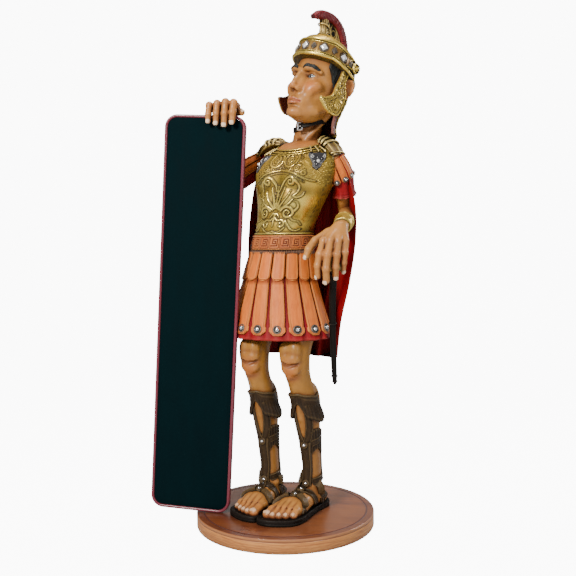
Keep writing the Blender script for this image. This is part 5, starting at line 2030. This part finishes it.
def makeSword():
    scabbard = Shape()
    path = [(248, -84, 900, 13, 11), (214, -30, 770, 11.5, 10), (196, 6, 650, 10.5, 9),
            (184, 38, 530, 9.5, 8), (180, 50, 484, 8, 7),
            (179, 54, 464, 4, 4)]
    scabbard.tube(path, 28, 12, dome=0.4)
    s = spline(path, 12)
    for side in (-1, 1):
        line = [s[i, :3] + np.array((side * s[i, 3], 0, 0)) for i in range(0, len(s) - 2)]
        tubeAlong(scabbard, line, 1.8, 8, edge=0.3)
    for i in (4, 20, 44, 52):
        c = s[i]
        along = unit(s[i + 1, :3] - s[i - 1, :3])
        wide = unit(np.array((1.0, 0, 0)) - along[0] * along)
        deep = np.cross(along, wide)
        angle = roundAngles(36)[:, None]
        ring = c[:3] + wide * (c[3] + 1.2) * np.cos(angle) + deep * (c[4] + 1.2) * np.sin(angle)
        tubeAlong(scabbard, ring, 2.6, 8, closed=True, edge=0.6)
    scabbard.piece("scabbard", blackSole, sharp=60)
    hilt = Shape()
    guard = [(252, -93, 880, 25, 14), (252, -94, 886, 27, 16), (253, -96, 898, 27, 16),
             (253, -97, 903, 24, 14)]
    hilt.tube(guard, 32, 4, dome=0.3, edge=0.3)
    grip = spline([(254, -98, 902, 12, 11), (255, -96, 934, 14.5, 13.5), (256, -94, 964, 13, 12)], 20)
    for row in grip:
        row[3:] += 0.9 * math.sin(row[2] * 0.85)
    hilt.tube(grip, 28, 0, dome=0.2, recess=0.3)
    pommel = [(256, -93, 962, 14, 13), (256, -91, 972, 21, 18), (256, -90, 982, 22, 19),
              (256, -89, 990, 14, 12)]
    hilt.tube(pommel, 28, 5, dome=0.4, edge=0.4)
    hilt.piece("sword_hilt", darkGold, sharp=60)


makeCape()
makeSword()
print("cape and sword made")


def makeStage():
    floorPaint, n, shader = startPaint("studio_floor")
    # the camera sees a white sweep, which throws no light on him
    seen = n.put("LightPath").outputs["Is Camera Ray"]
    n.fill(shader, {"Base Color": rgb(0.5, 0.5, 0.5), "Roughness": 0.9, "Emission Color": rgb(1, 1, 1),
                    "Emission Strength": n.times(seen, 10.0)})
    bend = [(3.0 + 1.6 * math.sin(a), 1.6 - 1.6 * math.cos(a)) for a in np.linspace(0.1, math.pi / 2, 14)]
    rows = [[(x, y, z - 0.0002) for x in np.linspace(-9, 9, 5)] for y,
            z in [(-8, 0), (3.0, 0)] + bend + [(4.6, 7)]]
    sweep = Shape().loft(rows, closed=False, caps=False).mesh("studio_sweep", Matrix.Identity(4), 60)
    addObject("studio_sweep", sweep, floorPaint)


lights = {  # name: (place, aims at, size, watts, colour)
    "key": ((-1.5, -3.9, 3.1), (0, 0, 1.1), 1.0, 340, (1.0, 0.96, 0.89)),
    "fill": ((3.2, -2.6, 1.7), (0, 0, 1.0), 1.3, 44, (0.97, 0.98, 1.0)),
    "top": ((0.2, 0.2, 4.2), (0, 0, 1.2), 1.3, 70, (1.0, 1.0, 1.0)),
    "back": ((2.6, 2.0, 2.4), (0, 0, 1.2), 1.0, 60, (1.0, 1.0, 1.0)),
}


def makeLights():
    for name, (place, aim, size, watts, colour) in lights.items():
        lamp = bpy.data.lights.new(name, "AREA")
        lamp.shape, lamp.size, lamp.energy, lamp.color = "DISK", size, watts, colour
        made = bpy.data.objects.new(name, lamp)
        made.location = place
        made.rotation_euler = (Vector(aim) - Vector(place)).to_track_quat("-Z", "Y").to_euler()
        bpy.context.scene.collection.objects.link(made)
    world = bpy.data.worlds.new("studio")
    bpy.context.scene.world = world
    world.use_nodes = True
    world.node_tree.nodes["Background"].inputs["Color"].default_value = rgb(1, 1, 1)
    world.node_tree.nodes["Background"].inputs["Strength"].default_value = 0.22


view = dict(turn=math.radians(10.2), height=1.03965, away=2.95, pitch=0.060575, roll=-0.0090407, focal=816.85,
            aside=0.01659)


def makeCamera():
    lens = bpy.data.cameras.new("camera")
    made = bpy.data.objects.new("camera", lens)
    bpy.context.scene.collection.objects.link(made)
    lens.sensor_width = 36
    lens.lens = view["focal"] * 36 / 576
    turn, away, aside = view["turn"], view["away"], view["aside"]
    made.location = (aside * math.cos(turn) + away * math.sin(turn),
                     aside * math.sin(turn) - away * math.cos(turn),
                     view["height"])
    made.rotation_euler = (Matrix.Rotation(turn, 4, "Z") @ Matrix.Rotation(math.pi / 2 - view["pitch"], 4,
                                                                           "X")
                           @ Matrix.Rotation(view["roll"], 4, "Z")).to_euler()
    bpy.context.scene.camera = made


makeStage()
makeLights()
makeCamera()
print("stage set")
